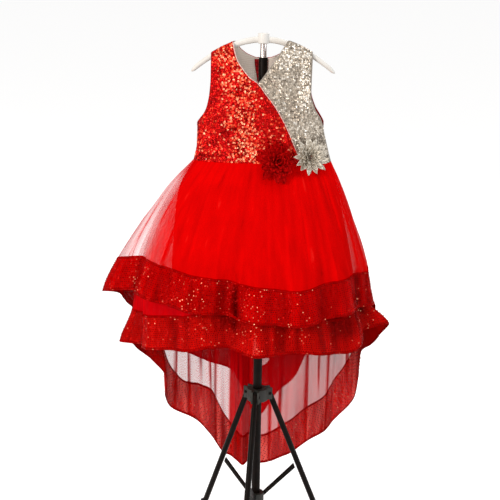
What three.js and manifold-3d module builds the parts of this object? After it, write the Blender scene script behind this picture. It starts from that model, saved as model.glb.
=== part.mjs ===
// A girl's sleeveless party gown with a surplice sequin bodice and a two-tier high-low tulle skirt,
// hanging on a plastic hanger bar on a tripod stand. Millimetres, +Z up, +X to the wearer's left,
// the front faces -Y. Heights of the gown are drops below the neck end of the shoulder line.
import * as THREE from 'three';
import { mergeVertices } from 'three/addons/utils/BufferGeometryUtils.js';
import Module from 'manifold-3d';

const wasm = await Module();
wasm.setup();

// ---- driving sizes -------------------------------------------------------------------------
const NECK_HEIGHT = 1020; // shoulder line's neck end above the floor
const WAIST_DROP = 232; // neck end of the shoulder to the waist seam
const SEAM_GAP = 0.3; // between pieces that are sewn together
const BODICE_WALL = 1.5; // sequin cloth
const LINING_WALL = 1.0;
const TULLE_WALL = 1.0;
const TAPE_WALL = 0.8;
const LAYER_STEP = 2.0; // from one gathered layer's face to the next at the waist seam
const BODICE_FRONT_DEPTH = 40; // from the side seam's plane to the middle of the front
const BODICE_BACK_DEPTH = 36;
const SHOULDER_ROLL = 70; // drop over which the bodice opens from the shoulder seam to its depth
const SHOULDER_SHAPE = 0.6; // how round that opening is
const WRAP_UNDERLAP = 15; // the silver front runs this far under the red one
const WRAP_FLAT = 19; // it stays low this far beside the red edge
const WRAP_EASE = 25; // width over which it then comes up flush
const WRAP_SLACK = 0.3;
const BAND_WIDTH = 71; // sequin hem bands, top edge to hem
const STEEPEST_BAND = 2.2; // slope of the hem past which a band gets no taller
const HANGER_HALF_SPAN = 139;
const HANGER_RISE = 62; // centre of the bar above its ends
const HANGER_CURVE = 1.9; // exponent of the bar's arch
const HANGER_CENTRE = 7; // top of the bar above the neck points
const STRAP_GAP = 0.6; // between the bar and the cloth that rests on it
const BAR_HEIGHT = 12;
const BAR_DEPTH = 9;

// ---- small helpers -------------------------------------------------------------------------
const DEGREE = Math.PI / 180;
const mix = (a, b, t) => a + (b - a) * t;
const clamp01 = (t) => Math.min(1, Math.max(0, t));
const smooth = (from, to, x) => {
  const t = clamp01((x - from) / (to - from));
  return t * t * (3 - 2 * t);
};
const wrapAngle = (angle) => ((((angle + 180) % 360) + 360) % 360) - 180;

// A smooth curve through a table's rows: column `y` against column `x`, with no overshoot.
// With a period the table closes on itself.
function curveThrough(rows, x, y, period = 0) {
  const points = rows.map((row) => [row[x], row[y]]);
  if (period) {
    const first = points.slice(0, 2).map(([a, b]) => [a + period, b]);
    const last = points.slice(-2).map(([a, b]) => [a - period, b]);
    points.unshift(...last);
    points.push(...first);
  }
  const slope = (i) => (points[i + 1][1] - points[i][1]) / (points[i + 1][0] - points[i][0]);
  const tangents = points.map((_, i) => {
    if (i === 0) return slope(0);
    if (i === points.length - 1) return slope(i - 1);
    const [before, after] = [slope(i - 1), slope(i)];
    return before * after <= 0 ? 0 : (2 * before * after) / (before + after);
  });
  return (at) => {
    if (at <= points[0][0]) return points[0][1];
    if (at >= points.at(-1)[0]) return points.at(-1)[1];
    let i = 0;
    while (points[i + 1][0] < at) i += 1;
    const span = points[i + 1][0] - points[i][0];
    const t = (at - points[i][0]) / span;
    const [p, q] = [points[i][1], points[i + 1][1]];
    const [m, n] = [tangents[i] * span, tangents[i + 1] * span];
    const t2 = t * t;
    const t3 = t2 * t;
    return (2 * t3 - 3 * t2 + 1) * p + (t3 - 2 * t2 + t) * m + (3 * t2 - 2 * t3) * q + (t3 - t2) * n;
  };
}

// Vertex normals of a grid of points, from the quads that meet at each point. A point on a side or
// shoulder seam, in the plane between front and back, has its normal in that plane.
function gridNormals(grid, closed) {
  const rows = grid.length;
  const columns = grid[0].length;
  const normals = grid.map((row) => row.map(() => new THREE.Vector3()));
  const across = new THREE.Vector3();
  const along = new THREE.Vector3();
  for (let j = 0; j < rows - 1; j += 1) {
    for (let i = 0; i < (closed ? columns : columns - 1); i += 1) {
      const next = (i + 1) % columns;
      across.subVectors(grid[j + 1][next], grid[j][i]);
      along.subVectors(grid[j][next], grid[j + 1][i]);
      const normal = new THREE.Vector3().crossVectors(across, along).normalize();
      for (const [r, c] of [[j, i], [j, next], [j + 1, i], [j + 1, next]]) normals[r][c].add(normal);
    }
  }
  return normals.map((row, j) => row.map((normal, i) => {
    if (!closed && Math.abs(grid[j][i].y) < SEAM_GAP) normal.y = 0;
    return normal.normalize();
  }));
}

// A closed wall from a grid of points: its outer face lies `from` under the grid and its inner
// face `to` under it. Rows run down the cloth, columns run so that the outside is to the right
// of the way down. A closed grid goes all round, and a wall may start below the grid's first rows.
function wall(wholeGrid, from, to, { closed = false, startRow = 0 } = {}) {
  const normals = gridNormals(wholeGrid, closed).slice(startRow);
  const grid = wholeGrid.slice(startRow);
  const rows = grid.length;
  const columns = grid[0].length;
  const positions = [];
  for (const depth of [from, to]) {
    grid.forEach((row, j) => row.forEach((point, i) => {
      positions.push(...point.clone().addScaledVector(normals[j][i], -depth).toArray());
    }));
  }
  const inner = rows * columns;
  const at = (j, i) => j * columns + (i % columns);
  const faces = [];
  const quad = (a, b, c, d) => faces.push(a, b, c, a, c, d);
  for (let j = 0; j < rows - 1; j += 1) {
    for (let i = 0; i < (closed ? columns : columns - 1); i += 1) {
      const [a, b, c, d] = [at(j, i), at(j + 1, i), at(j + 1, i + 1), at(j, i + 1)];
      quad(a, b, c, d);
      faces.push(inner + a, inner + c, inner + b, inner + a, inner + d, inner + c);
    }
  }
  for (let i = 0; i < (closed ? columns : columns - 1); i += 1) {
    quad(at(0, i), at(0, i + 1), inner + at(0, i + 1), inner + at(0, i));
    quad(at(rows - 1, i + 1), at(rows - 1, i), inner + at(rows - 1, i), inner + at(rows - 1, i + 1));
  }
  if (!closed) {
    for (let j = 0; j < rows - 1; j += 1) {
      quad(at(j + 1, 0), at(j, 0), inner + at(j, 0), inner + at(j + 1, 0));
      const last = columns - 1;
      quad(at(j, last), at(j + 1, last), inner + at(j + 1, last), inner + at(j, last));
    }
  }
  const geometry = new THREE.BufferGeometry();
  geometry.setAttribute('position', new THREE.Float32BufferAttribute(positions, 3));
  geometry.setIndex(faces);
  return geometry;
}

const gownHeight = (drop) => NECK_HEIGHT - drop;

// ---- hanger and shoulder line --------------------------------------------------------------
const barTop = (x) => HANGER_CENTRE - HANGER_RISE * (Math.abs(x) / HANGER_HALF_SPAN) ** HANGER_CURVE;
const barSlope = (x) => barTop(x + 0.5) - barTop(x - 0.5);
const shoulderLine = (x) => barTop(x) + (STRAP_GAP + BODICE_WALL) * Math.hypot(1, barSlope(x));

// ---- bodice --------------------------------------------------------------------------------
// Half widths of the body of the gown on the wearer's right and left, by drop.
const bodySections = [
  { drop: -20, right: 126, left: 120 },
  { drop: 100, right: 126, left: 119 },
  { drop: 160, right: 127, left: 120 },
  { drop: 203, right: 128, left: 129 },
  { drop: 232, right: 134, left: 137 },
];
// Armhole and side edges, by drop. Below the underarm they run on the side seam.
const frontArmholes = [
  { drop: 0, right: 101, left: 95 },
  { drop: 40, right: 100, left: 94 },
  { drop: 70, right: 100, left: 93 },
  { drop: 100, right: 102, left: 92.5 },
  { drop: 126, right: 107, left: 100 },
  { drop: 142, right: 114, left: 108 },
  { drop: 158, right: 126, left: 117 },
  { drop: 168, right: 130, left: 124 },
  { drop: 178, right: 140, left: 140 },
];
const backArmholes = [
  { drop: 0, right: 101, left: 95 },
  { drop: 60, right: 101, left: 97 },
  { drop: 100, right: 105, left: 102 },
  { drop: 132, right: 114, left: 111 },
  { drop: 152, right: 124, left: 118 },
  { drop: 164, right: 130, left: 124 },
  { drop: 178, right: 140, left: 140 },
];
// Neck edges from the shoulder down: x across the body, by drop.
const redNeckEdge = [
  { drop: -5, x: -62 },
  { drop: 37, x: -50 },
  { drop: 55, x: -38 },
  { drop: 70, x: -25 },
  { drop: 81, x: -9 },
  { drop: 98, x: 4 },
  { drop: 124, x: 24 },
  { drop: 158, x: 44 },
  { drop: 193, x: 60 },
  { drop: 232, x: 77 },
];
const silverNeckEdge = [
  { drop: -5, x: 51 },
  { drop: 32, x: 26 },
  { drop: 51, x: 13 },
  { drop: 64, x: 4 },
  { drop: 76, x: -5 },
  { drop: 86, x: -15 },
];
const backNeckEdge = [
  { drop: -5, x: 57 },
  { drop: 14, x: 47 },
  { drop: 26, x: 34 },
  { drop: 34, x: 17 },
  { drop: 38, x: 0 },
];

const bodyRight = curveThrough(bodySections, 'drop', 'right');
const bodyLeft = curveThrough(bodySections, 'drop', 'left');
const redEdge = curveThrough(redNeckEdge, 'drop', 'x');
const silverEdge = curveThrough(silverNeckEdge, 'drop', 'x');
const bodyHalf = (drop, side) => (side < 0 ? bodyRight(drop) : bodyLeft(drop));
const armhole = (rows, side) => {
  const edge = curveThrough(rows, 'drop', side < 0 ? 'right' : 'left');
  return (drop) => side * Math.min(edge(drop), bodyHalf(drop, side));
};

// A point of the gown's body at angle `turn` round it, radians from the middle of the front or
// back. `face` is -1 on the front and 1 on the back.
function bodyPoint(turn, drop, face) {
  const x = bodyHalf(drop, Math.sign(turn)) * Math.sin(turn);
  const under = Math.max(0, drop + shoulderLine(x));
  const opened = Math.sin((Math.PI / 2) * Math.min(1, under / SHOULDER_ROLL)) ** SHOULDER_SHAPE;
  const depth = (face < 0 ? BODICE_FRONT_DEPTH : BODICE_BACK_DEPTH) * Math.cos(turn) * opened;
  return new THREE.Vector3(x, face * (depth + SEAM_GAP / 2), gownHeight(drop));
}

const turnAt = (x, drop) => Math.asin(Math.max(-1, Math.min(1, x / bodyHalf(drop, Math.sign(x)))));

// Fractions of a panel's height where its rows lie: close at the shoulder, where it rolls over.
const PANEL_ROWS = [0, 0.006, 0.025, 0.07, 0.14, 0.23, 0.33, 0.43, 0.54, 0.67, 0.83, 1];
const PANEL_COLUMNS = 8;

// A panel between two edges, each a curve of x against drop, with the panel's own shoulder end
// for each. It starts on the shoulder line and ends on the waist seam, or short of it.
function panelGrid(edges, shoulder, face, rows = PANEL_ROWS, short = 0) {
  const grid = rows.map((fraction) => {
    const end = WAIST_DROP - SEAM_GAP / 2 - short;
    const drops = shoulder.map((x) => mix(-shoulderLine(x), end, fraction));
    const ends = edges.map((edge, k) => (fraction === 0 ? shoulder[k] : edge(drops[k])));
    const turns = ends.map((x, k) => turnAt(x, drops[k]));
    return Array.from({ length: PANEL_COLUMNS + 1 }, (_, i) => {
      const u = i / PANEL_COLUMNS;
      const turn = mix(turns[0], turns[1], u);
      let drop = mix(drops[0], drops[1], u);
      if (fraction === 0) drop = -shoulderLine(bodyHalf(drop, Math.sign(turn)) * Math.sin(turn));
      return bodyPoint(turn, drop, face);
    });
  });
  return face < 0 ? grid : grid.map((row) => row.reverse());
}

function frontRed() {
  const grid = panelGrid([armhole(frontArmholes, -1), redEdge], [-101, -62], -1);
  return wall(grid, 0, BODICE_WALL);
}

// The silver front lies under the red one along the wrap and comes up flush beside it.
function frontSilver() {
  const under = (drop) => (drop < silverNeckEdge.at(-1).drop
    ? silverEdge(drop)
    : redEdge(drop) - mix(0, WRAP_UNDERLAP, smooth(76, 110, drop)) - 7);
  const grid = panelGrid([under, armhole(frontArmholes, 1)], [51, 95], -1);
  const normals = gridNormals(grid, false);
  const sunk = grid.map((row, j) => row.map((point, i) => {
    const edge = redEdge(NECK_HEIGHT - point.z);
    const flush = smooth(edge + WRAP_FLAT, edge + WRAP_FLAT + WRAP_EASE, point.x);
    const depth = (BODICE_WALL + SEAM_GAP + WRAP_SLACK) * (1 - flush);
    return point.clone().addScaledVector(normals[j][i], -depth);
  }));
  return wall(sunk, 0, BODICE_WALL);
}

const backNeck = curveThrough(backNeckEdge, 'drop', 'x');
const BACK_ROWS = [0, 0.006, 0.03, 0.075, 0.12, 0.16, 0.2, 0.29, 0.42, 0.58, 0.78, 1];

function backGrid(side, short = 0) {
  const neck = (drop) => side * Math.max(SEAM_GAP / 2, backNeck(drop));
  const shoulder = side < 0 ? [-101, -57] : [57, 95];
  const edges = [armhole(backArmholes, side), neck];
  return panelGrid(side < 0 ? edges : edges.reverse(), shoulder, 1, BACK_ROWS, short);
}

const LINING_DEPTH = BODICE_WALL + SEAM_GAP;
const LINING_START_ROW = 2; // below the hanger's bar
const LINING_SHORT = 1.2; // the lining stops this far above the waist seam
const TAPE_EASE = 0.8; // between the lining and the zip's tape, which is flatter
const TAPE_DEPTH = LINING_DEPTH + LINING_WALL + TAPE_EASE;

// The zip's tape, inside the centre back: wide at the neck and narrower where it runs down.
const zipTape = { top: 41, bottom: 196, topHalf: 10, lowHalf: 6, tapered: 95, rows: 8, columns: 4 };
function zipTapeGrid() {
  return Array.from({ length: zipTape.rows + 1 }, (_, j) => {
    const drop = mix(zipTape.top, zipTape.bottom, j / zipTape.rows);
    const half = mix(zipTape.topHalf, zipTape.lowHalf, smooth(zipTape.top, zipTape.tapered, drop));
    return Array.from({ length: zipTape.columns + 1 }, (__, i) => {
      const x = mix(half, -half, i / zipTape.columns);
      return bodyPoint(turnAt(x, drop), drop, 1);
    });
  });
}

// ---- skirts --------------------------------------------------------------------------------
// Sections of each layer by drop below the waist seam: reach to the wearer's right and left,
// and to the front and back.
const tier1Sections = [
  { drop: 0, right: 134, left: 137, front: 40, back: 36 },
  { drop: 63, right: 190, left: 165, front: 78, back: 78 },
  { drop: 134, right: 234, left: 191, front: 118, back: 122 },
  { drop: 203, right: 264, left: 212, front: 148, back: 158 },
  { drop: 286, right: 284, left: 228, front: 170, back: 190 },
  { drop: 330, right: 264, left: 243, front: 172, back: 200 },
  { drop: 400, right: 258, left: 248, front: 172, back: 208 },
  { drop: 580, right: 235, left: 232, front: 172, back: 214 },
];
const tier2Sections = [
  { drop: 0, right: 134, left: 137, front: 40, back: 36 },
  { drop: 63, right: 179, left: 160, front: 70, back: 72 },
  { drop: 134, right: 218, left: 181, front: 104, back: 110 },
  { drop: 203, right: 246, left: 196, front: 128, back: 138 },
  { drop: 270, right: 252, left: 210, front: 147, back: 160 },
  { drop: 327, right: 252, left: 228, front: 158, back: 174 },
  { drop: 375, right: 256, left: 234, front: 164, back: 180 },
  { drop: 430, right: 240, left: 232, front: 164, back: 184 },
  { drop: 550, right: 236, left: 230, front: 164, back: 190 },
  { drop: 723, right: 222, left: 225, front: 164, back: 194 },
];
const liningSections = [
  { drop: 0, right: 134, left: 137, front: 40, back: 36 },
  { drop: 60, right: 166, left: 155, front: 64, back: 66 },
  { drop: 130, right: 175, left: 172, front: 94, back: 92 },
  { drop: 200, right: 180, left: 186, front: 112, back: 112 },
  { drop: 270, right: 184, left: 196, front: 126, back: 128 },
  { drop: 300, right: 185, left: 198, front: 130, back: 132 },
];
// Hem drops by angle: 0 is the middle of the front, 90 the wearer's left, 180 the middle back.
const tier1Hem = [
  { angle: -166, drop: 505 },
  { angle: -152, drop: 476 },
  { angle: -139, drop: 446 },
  { angle: -115, drop: 350 },
  { angle: -90, drop: 272 },
  { angle: -62, drop: 252 },
  { angle: -38, drop: 266 },
  { angle: -18, drop: 275 },
  { angle: 0, drop: 286 },
  { angle: 18, drop: 293 },
  { angle: 40, drop: 283 },
  { angle: 60, drop: 277 },
  { angle: 90, drop: 286 },
  { angle: 115, drop: 350 },
  { angle: 138, drop: 400 },
  { angle: 151, drop: 440 },
  { angle: 160, drop: 522 },
  { angle: 169, drop: 562 },
  { angle: 179, drop: 618 },
];
const tier2Hem = [
  { angle: -163, drop: 702 },
  { angle: -153, drop: 646 },
  { angle: -144, drop: 604 },
  { angle: -131, drop: 572 },
  { angle: -121, drop: 520 },
  { angle: -110, drop: 452 },
  { angle: -101, drop: 410 },
  { angle: -90, drop: 375 },
  { angle: -62, drop: 366 },
  { angle: -38, drop: 356 },
  { angle: -17, drop: 341 },
  { angle: 0, drop: 354 },
  { angle: 22, drop: 350 },
  { angle: 48, drop: 362 },
  { angle: 66, drop: 338 },
  { angle: 85, drop: 326 },
  { angle: 97, drop: 382 },
  { angle: 107, drop: 412 },
  { angle: 117, drop: 520 },
  { angle: 127, drop: 574 },
  { angle: 139, drop: 626 },
  { angle: 149, drop: 656 },
  { angle: 161, drop: 694 },
  { angle: 177, drop: 723 },
];
const liningHem = [
  { angle: -120, drop: 292 },
  { angle: -60, drop: 298 },
  { angle: 0, drop: 300 },
  { angle: 60, drop: 294 },
  { angle: 120, drop: 290 },
  { angle: 180, drop: 298 },
];
// Hem waves: where each crest or trough lies, its half width in degrees, how far it stands out
// at the hem, and how far down the cloth it starts.
const tier1Folds = [
  { angle: -172, width: 9, out: 8, start: 0.3 },
  { angle: -155, width: 9, out: -9, start: 0.35 },
  { angle: -139, width: 9, out: 10, start: 0.3 },
  { angle: -123, width: 8, out: -9, start: 0.3 },
  { angle: -108, width: 8, out: 10, start: 0.25 },
  { angle: -95, width: 7, out: -8, start: 0.3 },
  { angle: -84, width: 9, out: 34, start: 0.3 },
  { angle: -66, width: 6, out: -10, start: 0.3 },
  { angle: -53, width: 7, out: 8, start: 0.25 },
  { angle: -40, width: 6, out: -7, start: 0.35 },
  { angle: -27, width: 7, out: 7, start: 0.4 },
  { angle: -13, width: 5.5, out: -24, start: 0.5 },
  { angle: -2, width: 6, out: 8, start: 0.45 },
  { angle: 10, width: 6, out: -6, start: 0.35 },
  { angle: 22, width: 7, out: 8, start: 0.3 },
  { angle: 36, width: 6, out: -7, start: 0.4 },
  { angle: 49, width: 7, out: 8, start: 0.25 },
  { angle: 62, width: 6, out: -8, start: 0.35 },
  { angle: 75, width: 7, out: 8, start: 0.3 },
  { angle: 88, width: 6, out: -7, start: 0.3 },
  { angle: 102, width: 8, out: 10, start: 0.25 },
  { angle: 118, width: 8, out: -9, start: 0.3 },
  { angle: 134, width: 9, out: 10, start: 0.3 },
  { angle: 149, width: 8, out: -8, start: 0.35 },
  { angle: 166, width: 9, out: 9, start: 0.3 },
];
const tier2Folds = [
  { angle: -178, width: 3.4, out: 9, start: 0.4 },
  { angle: -171, width: 3.4, out: -30, start: 0.4 },
  { angle: -164, width: 3.4, out: 10, start: 0.4 },
  { angle: -151, width: 7, out: -9, start: 0.45 },
  { angle: -130, width: 7, out: 14, start: 0.5 },
  { angle: -114, width: 7, out: -26, start: 0.55 },
  { angle: -100, width: 5, out: 6, start: 0.5 },
  { angle: -86, width: 7, out: 28, start: 0.74 },
  { angle: -72, width: 6, out: -9, start: 0.45 },
  { angle: -58, width: 6, out: 8, start: 0.4 },
  { angle: -44, width: 6, out: -8, start: 0.45 },
  { angle: -30, width: 6, out: 7, start: 0.45 },
  { angle: -14, width: 5, out: -12, start: 0.5 },
  { angle: -2, width: 6, out: 7, start: 0.5 },
  { angle: 14, width: 6, out: -8, start: 0.45 },
  { angle: 29, width: 6, out: 8, start: 0.4 },
  { angle: 43, width: 6, out: -9, start: 0.45 },
  { angle: 57, width: 6, out: 8, start: 0.4 },
  { angle: 71, width: 6, out: -9, start: 0.45 },
  { angle: 86, width: 8, out: 38, start: 0.82 },
  { angle: 105, width: 6, out: -8, start: 0.4 },
  { angle: 118, width: 6, out: 8, start: 0.4 },
  { angle: 131, width: 6, out: -10, start: 0.45 },
  { angle: 145, width: 7, out: 8, start: 0.4 },
  { angle: 159, width: 6, out: -9, start: 0.45 },
];
const liningFolds = [
  { angle: -150, width: 14, out: 6, start: 0.3 },
  { angle: -105, width: 14, out: -5, start: 0.3 },
  { angle: -62, width: 13, out: 5, start: 0.3 },
  { angle: -22, width: 12, out: -5, start: 0.3 },
  { angle: 18, width: 13, out: 5, start: 0.3 },
  { angle: 58, width: 12, out: -5, start: 0.3 },
  { angle: 100, width: 14, out: 5, start: 0.3 },
  { angle: 145, width: 13, out: -5, start: 0.3 },
];

const GATHERS = 24; // small gathers under the waist seam, on each layer
const layers = {
  tier1: { sections: tier1Sections, hem: tier1Hem, folds: tier1Folds, inset: 0, gather: 1.8 },
  tier2: { sections: tier2Sections, hem: tier2Hem, folds: tier2Folds, inset: LAYER_STEP, gather: 1.4 },
  lining: { sections: liningSections, hem: liningHem, folds: liningFolds, inset: 2 * LAYER_STEP, gather: 1.0 },
};
for (const layer of Object.values(layers)) {
  for (const reach of ['right', 'left', 'front', 'back']) {
    layer[reach] = curveThrough(layer.sections, 'drop', reach);
  }
  layer.hemDrop = curveThrough(layer.hem, 'angle', 'drop', 360);
}

// A point of a skirt layer: `angle` degrees round from the middle of the front, `fraction` of the
// way from the waist seam to the hem.
function skirtPoint(layer, angle, fraction) {
  const drop = fraction * layer.hemDrop(angle);
  const [s, c] = [Math.sin(angle * DEGREE), Math.cos(angle * DEGREE)];
  const reachX = (s < 0 ? layer.right(drop) : layer.left(drop)) - layer.inset;
  const reachY = (c > 0 ? layer.front(drop) : layer.back(drop)) - layer.inset;
  const normal = new THREE.Vector2(s * reachY, -c * reachX).normalize();
  let out = layer.gather * Math.cos(GATHERS * angle * DEGREE)
    * smooth(2, 30, drop) * (1 - 0.7 * smooth(60, 220, drop));
  for (const fold of layer.folds) {
    const away = wrapAngle(angle - fold.angle) / fold.width;
    out += fold.out * Math.exp(-away * away) * smooth(fold.start, 1, fraction);
  }
  return new THREE.Vector3(
    s * reachX + normal.x * out,
    -c * reachY + normal.y * out,
    gownHeight(WAIST_DROP + SEAM_GAP / 2 + drop),
  );
}

// How far up the skirt a hem band reaches at an angle: its width is measured square to the hem.
function bandFraction(layer, angle) {
  const here = skirtPoint(layer, angle, 1);
  const beside = skirtPoint(layer, angle + 2, 1);
  const level = Math.hypot(beside.x - here.x, beside.y - here.y);
  const slope = Math.min(STEEPEST_BAND, Math.abs(beside.z - here.z) / level);
  return 1 - (BAND_WIDTH * 0.94 * Math.hypot(1, slope)) / layer.hemDrop(angle);
}

// The seam above a band is a gap of SEAM_GAP square to the seam, which slopes at the sides.
function seamFraction(layer, top, angle) {
  const rise = top(angle + 2) * layer.hemDrop(angle + 2) - top(angle - 2) * layer.hemDrop(angle - 2);
  const level = 4 * DEGREE * SEAM_RADIUS;
  return (SEAM_GAP * (1 + (1.8 * Math.abs(rise)) / level)) / layer.hemDrop(angle);
}
const SEAM_RADIUS = 180; // about how far the seams are from the middle

// Angles round a skirt, evenly spaced but for zones that have their own closer step.
function anglesRound(count, zones = []) {
  const angles = [];
  for (let i = 0; i < count; i += 1) {
    const angle = wrapAngle((360 * i) / count);
    if (!zones.some((zone) => angle > zone.from && angle < zone.to)) angles.push(angle);
  }
  for (const zone of zones) {
    for (let angle = zone.from; angle <= zone.to + 1e-6; angle += zone.step) {
      if (!angles.some((known) => Math.abs(known - angle) < zone.step / 2)) angles.push(angle);
    }
  }
  return angles.sort((a, b) => a - b);
}

function skirtWall(layer, angles, fractions, thickness) {
  const grid = fractions.map((at) => angles.map((angle) => skirtPoint(layer, angle, at(angle))));
  return wall(grid, 0, thickness, { closed: true });
}

const bandTop = (layer) => {
  const tops = new Map();
  return (angle) => {
    if (!tops.has(angle)) {
      const around = [-6, -3, 0, 3, 6].map((step) => bandFraction(layer, angle + step));
      tops.set(angle, around.reduce((sum, value) => sum + value, 0) / around.length);
    }
    return tops.get(angle);
  };
};
const TULLE_ROWS = [0, 0.06, 0.15, 0.3, 0.51, 0.75, 1];
const LINING_ROWS = [0, 0.1, 0.28, 0.6, 1];

function tulleRows(layer) {
  const top = bandTop(layer);
  return TULLE_ROWS.map((share) => (angle) => share * (top(angle) - seamFraction(layer, top, angle)));
}
function bandRows(layer) {
  const top = bandTop(layer);
  return [(angle) => top(angle), (angle) => mix(top(angle), 1, 0.5), () => 1];
}

const tier1Angles = anglesRound(96);
const tier2Angles = anglesRound(92, [{ from: -179, to: -161, step: 1.5 }]);

// ---- flowers -------------------------------------------------------------------------------
function toSolid(geometry) {
  const bare = geometry.index ? geometry.toNonIndexed() : geometry.clone();
  bare.deleteAttribute('normal');
  bare.deleteAttribute('uv');
  const merged = mergeVertices(bare, 1e-4);
  return new wasm.Manifold(new wasm.Mesh({
    numProp: 3,
    vertProperties: new Float32Array(merged.attributes.position.array),
    triVerts: new Uint32Array(merged.index.array),
  }));
}

function toGeometry(solid) {
  const { vertProperties, triVerts, numProp } = solid.getMesh();
  const positions = new Float32Array((vertProperties.length / numProp) * 3);
  for (let i = 0; i < positions.length / 3; i += 1) {
    positions.set(vertProperties.subarray(i * numProp, i * numProp + 3), i * 3);
  }
  const geometry = new THREE.BufferGeometry();
  geometry.setAttribute('position', new THREE.BufferAttribute(positions, 3));
  geometry.setIndex(new THREE.BufferAttribute(new Uint32Array(triVerts), 1));
  return geometry;
}

// Each ring of petals is one thin cone with a star's outline: its petals end at `tip` along the
// cone and part at `notch`, and its root is inside the backing disc.
const FLOWER_DISC = { radius: 15, thickness: 5, sides: 16 };
const PETAL_THICKNESS = 1.3;
const PETAL_ROOT = { radius: 4, depth: 2.4 };
const flowers = {
  flower_red: {
    x: 31, drop: 225, turn: 11, lean: -20, seat: 5.8, nearAngle: 90, near: 0.6, blunt: true,
    rings: [
      { petals: 11, tip: 41, notch: 27, tilt: 14, start: 0 },
      { petals: 9, tip: 32, notch: 21, tilt: 33, start: 12 },
      { petals: 7, tip: 24, notch: 15, tilt: 56, start: 5 },
    ],
  },
  flower_silver: {
    x: 92, drop: 222, turn: 21, lean: -20, seat: 3.5, nearAngle: -90, near: 0.88, blunt: false,
    rings: [
      { petals: 13, tip: 36, notch: 21, tilt: 12, start: 0 },
      { petals: 11, tip: 30, notch: 17, tilt: 31, start: 9 },
      { petals: 8, tip: 23, notch: 12, tilt: 54, start: 4 },
    ],
  },
};

function petalRing(spec, ring) {
  const tilt = ring.tilt * DEGREE;
  const corners = spec.blunt ? [0.93, 0.93, 0] : [1, 0];
  const outline = [];
  for (let k = 0; k < ring.petals * corners.length; k += 1) {
    const corner = corners[k % corners.length];
    const petal = Math.floor(k / corners.length);
    const turn = ring.start + ((k % corners.length) / corners.length + petal) * (360 / ring.petals);
    const near = Math.max(0, Math.cos((turn - spec.nearAngle) * DEGREE)) ** 1.5;
    const uneven = 1 - 0.07 * (petal % 3);
    const along = corner > 0 ? ring.tip * corner * uneven : ring.notch;
    outline.push({ turn: turn * DEGREE, along: along * mix(1, spec.near, near) });
  }
  const point = (turn, along, back) => {
    const radius = PETAL_ROOT.radius + along * Math.cos(tilt) - back * Math.sin(tilt);
    const y = -PETAL_ROOT.depth - along * Math.sin(tilt) - back * Math.cos(tilt);
    return [radius * Math.sin(turn), y, radius * Math.cos(turn)];
  };
  const positions = [];
  for (const [far, back] of [[0, 0], [1, 0], [1, PETAL_THICKNESS], [0, PETAL_THICKNESS]]) {
    for (const { turn, along } of outline) positions.push(...point(turn, far * along, back));
  }
  const around = outline.length;
  const faces = [];
  for (let loop = 0; loop < 4; loop += 1) {
    for (let k = 0; k < around; k += 1) {
      const [a, b] = [loop * around + k, loop * around + ((k + 1) % around)];
      const [c, d] = [((loop + 1) % 4) * around + ((k + 1) % around), ((loop + 1) % 4) * around + k];
      faces.push(a, c, b, a, d, c);
    }
  }
  const geometry = new THREE.BufferGeometry();
  geometry.setAttribute('position', new THREE.Float32BufferAttribute(positions, 3));
  geometry.setIndex(faces);
  return geometry;
}

// A corsage: rings of petals fused to a small backing disc that lies on the waist.
function flower(spec) {
  const disc = new THREE.CylinderGeometry(
    FLOWER_DISC.radius, FLOWER_DISC.radius, FLOWER_DISC.thickness, FLOWER_DISC.sides,
  );
  disc.translate(0, -FLOWER_DISC.thickness / 2, 0);
  let solid = toSolid(disc);
  for (const ring of spec.rings) solid = solid.add(toSolid(petalRing(spec, ring)));
  const geometry = toGeometry(solid);
  geometry.rotateX(spec.lean * DEGREE);
  geometry.rotateZ(spec.turn * DEGREE);
  const seat = bodyPoint(turnAt(spec.x, spec.drop), spec.drop, -1);
  geometry.translate(seat.x, seat.y - spec.seat, seat.z);
  return geometry;
}

// ---- zip slider and pull -------------------------------------------------------------------
const slider = {
  drop: 55, width: 7, length: 10, depth: 2.6, lugWidth: 1.6, lugHeight: 4.4, lugDepth: 3.9, eye: 2.4,
};
const pull = { width: 5.2, length: 24, thickness: 1.4, window: 3.2, clearance: 0.35 };
const zipY = bodyPoint(0, slider.drop, 1).y + SEAM_GAP;
const pivot = { y: zipY + slider.depth + 1.9, drop: slider.drop };

function box(size, centre) {
  const geometry = new THREE.BoxGeometry(...size);
  geometry.translate(...centre);
  return geometry;
}

// The slider's body with a closed loop (a lug with a hole across it) on its outer face.
function zipSlider() {
  const z = gownHeight(slider.drop);
  const body = toSolid(box([slider.width, slider.depth, slider.length], [0, zipY + slider.depth / 2, z]));
  const lug = toSolid(box([slider.lugWidth, slider.lugDepth + 0.4, slider.lugHeight],
    [0, zipY + slider.depth + slider.lugDepth / 2 - 0.2, z]));
  const hole = toSolid(box([slider.lugWidth + 1, slider.eye, slider.eye], [0, pivot.y, z]));
  return toGeometry(body.add(lug.subtract(hole)));
}

// The pull tab: a flat tongue whose upper end is a frame round the lug, with a bar through it.
function zipPull() {
  const z = gownHeight(pivot.drop);
  const half = pull.thickness / 2;
  const plate = toSolid(box([pull.width, pull.thickness, pull.length + half],
    [0, pivot.y, z + half - (pull.length + half) / 2]));
  const window = toSolid(box([slider.lugWidth + 2 * pull.clearance, pull.thickness + 1, pull.window],
    [0, pivot.y, z - half - pull.window / 2]));
  return toGeometry(plate.subtract(window));
}

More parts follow.
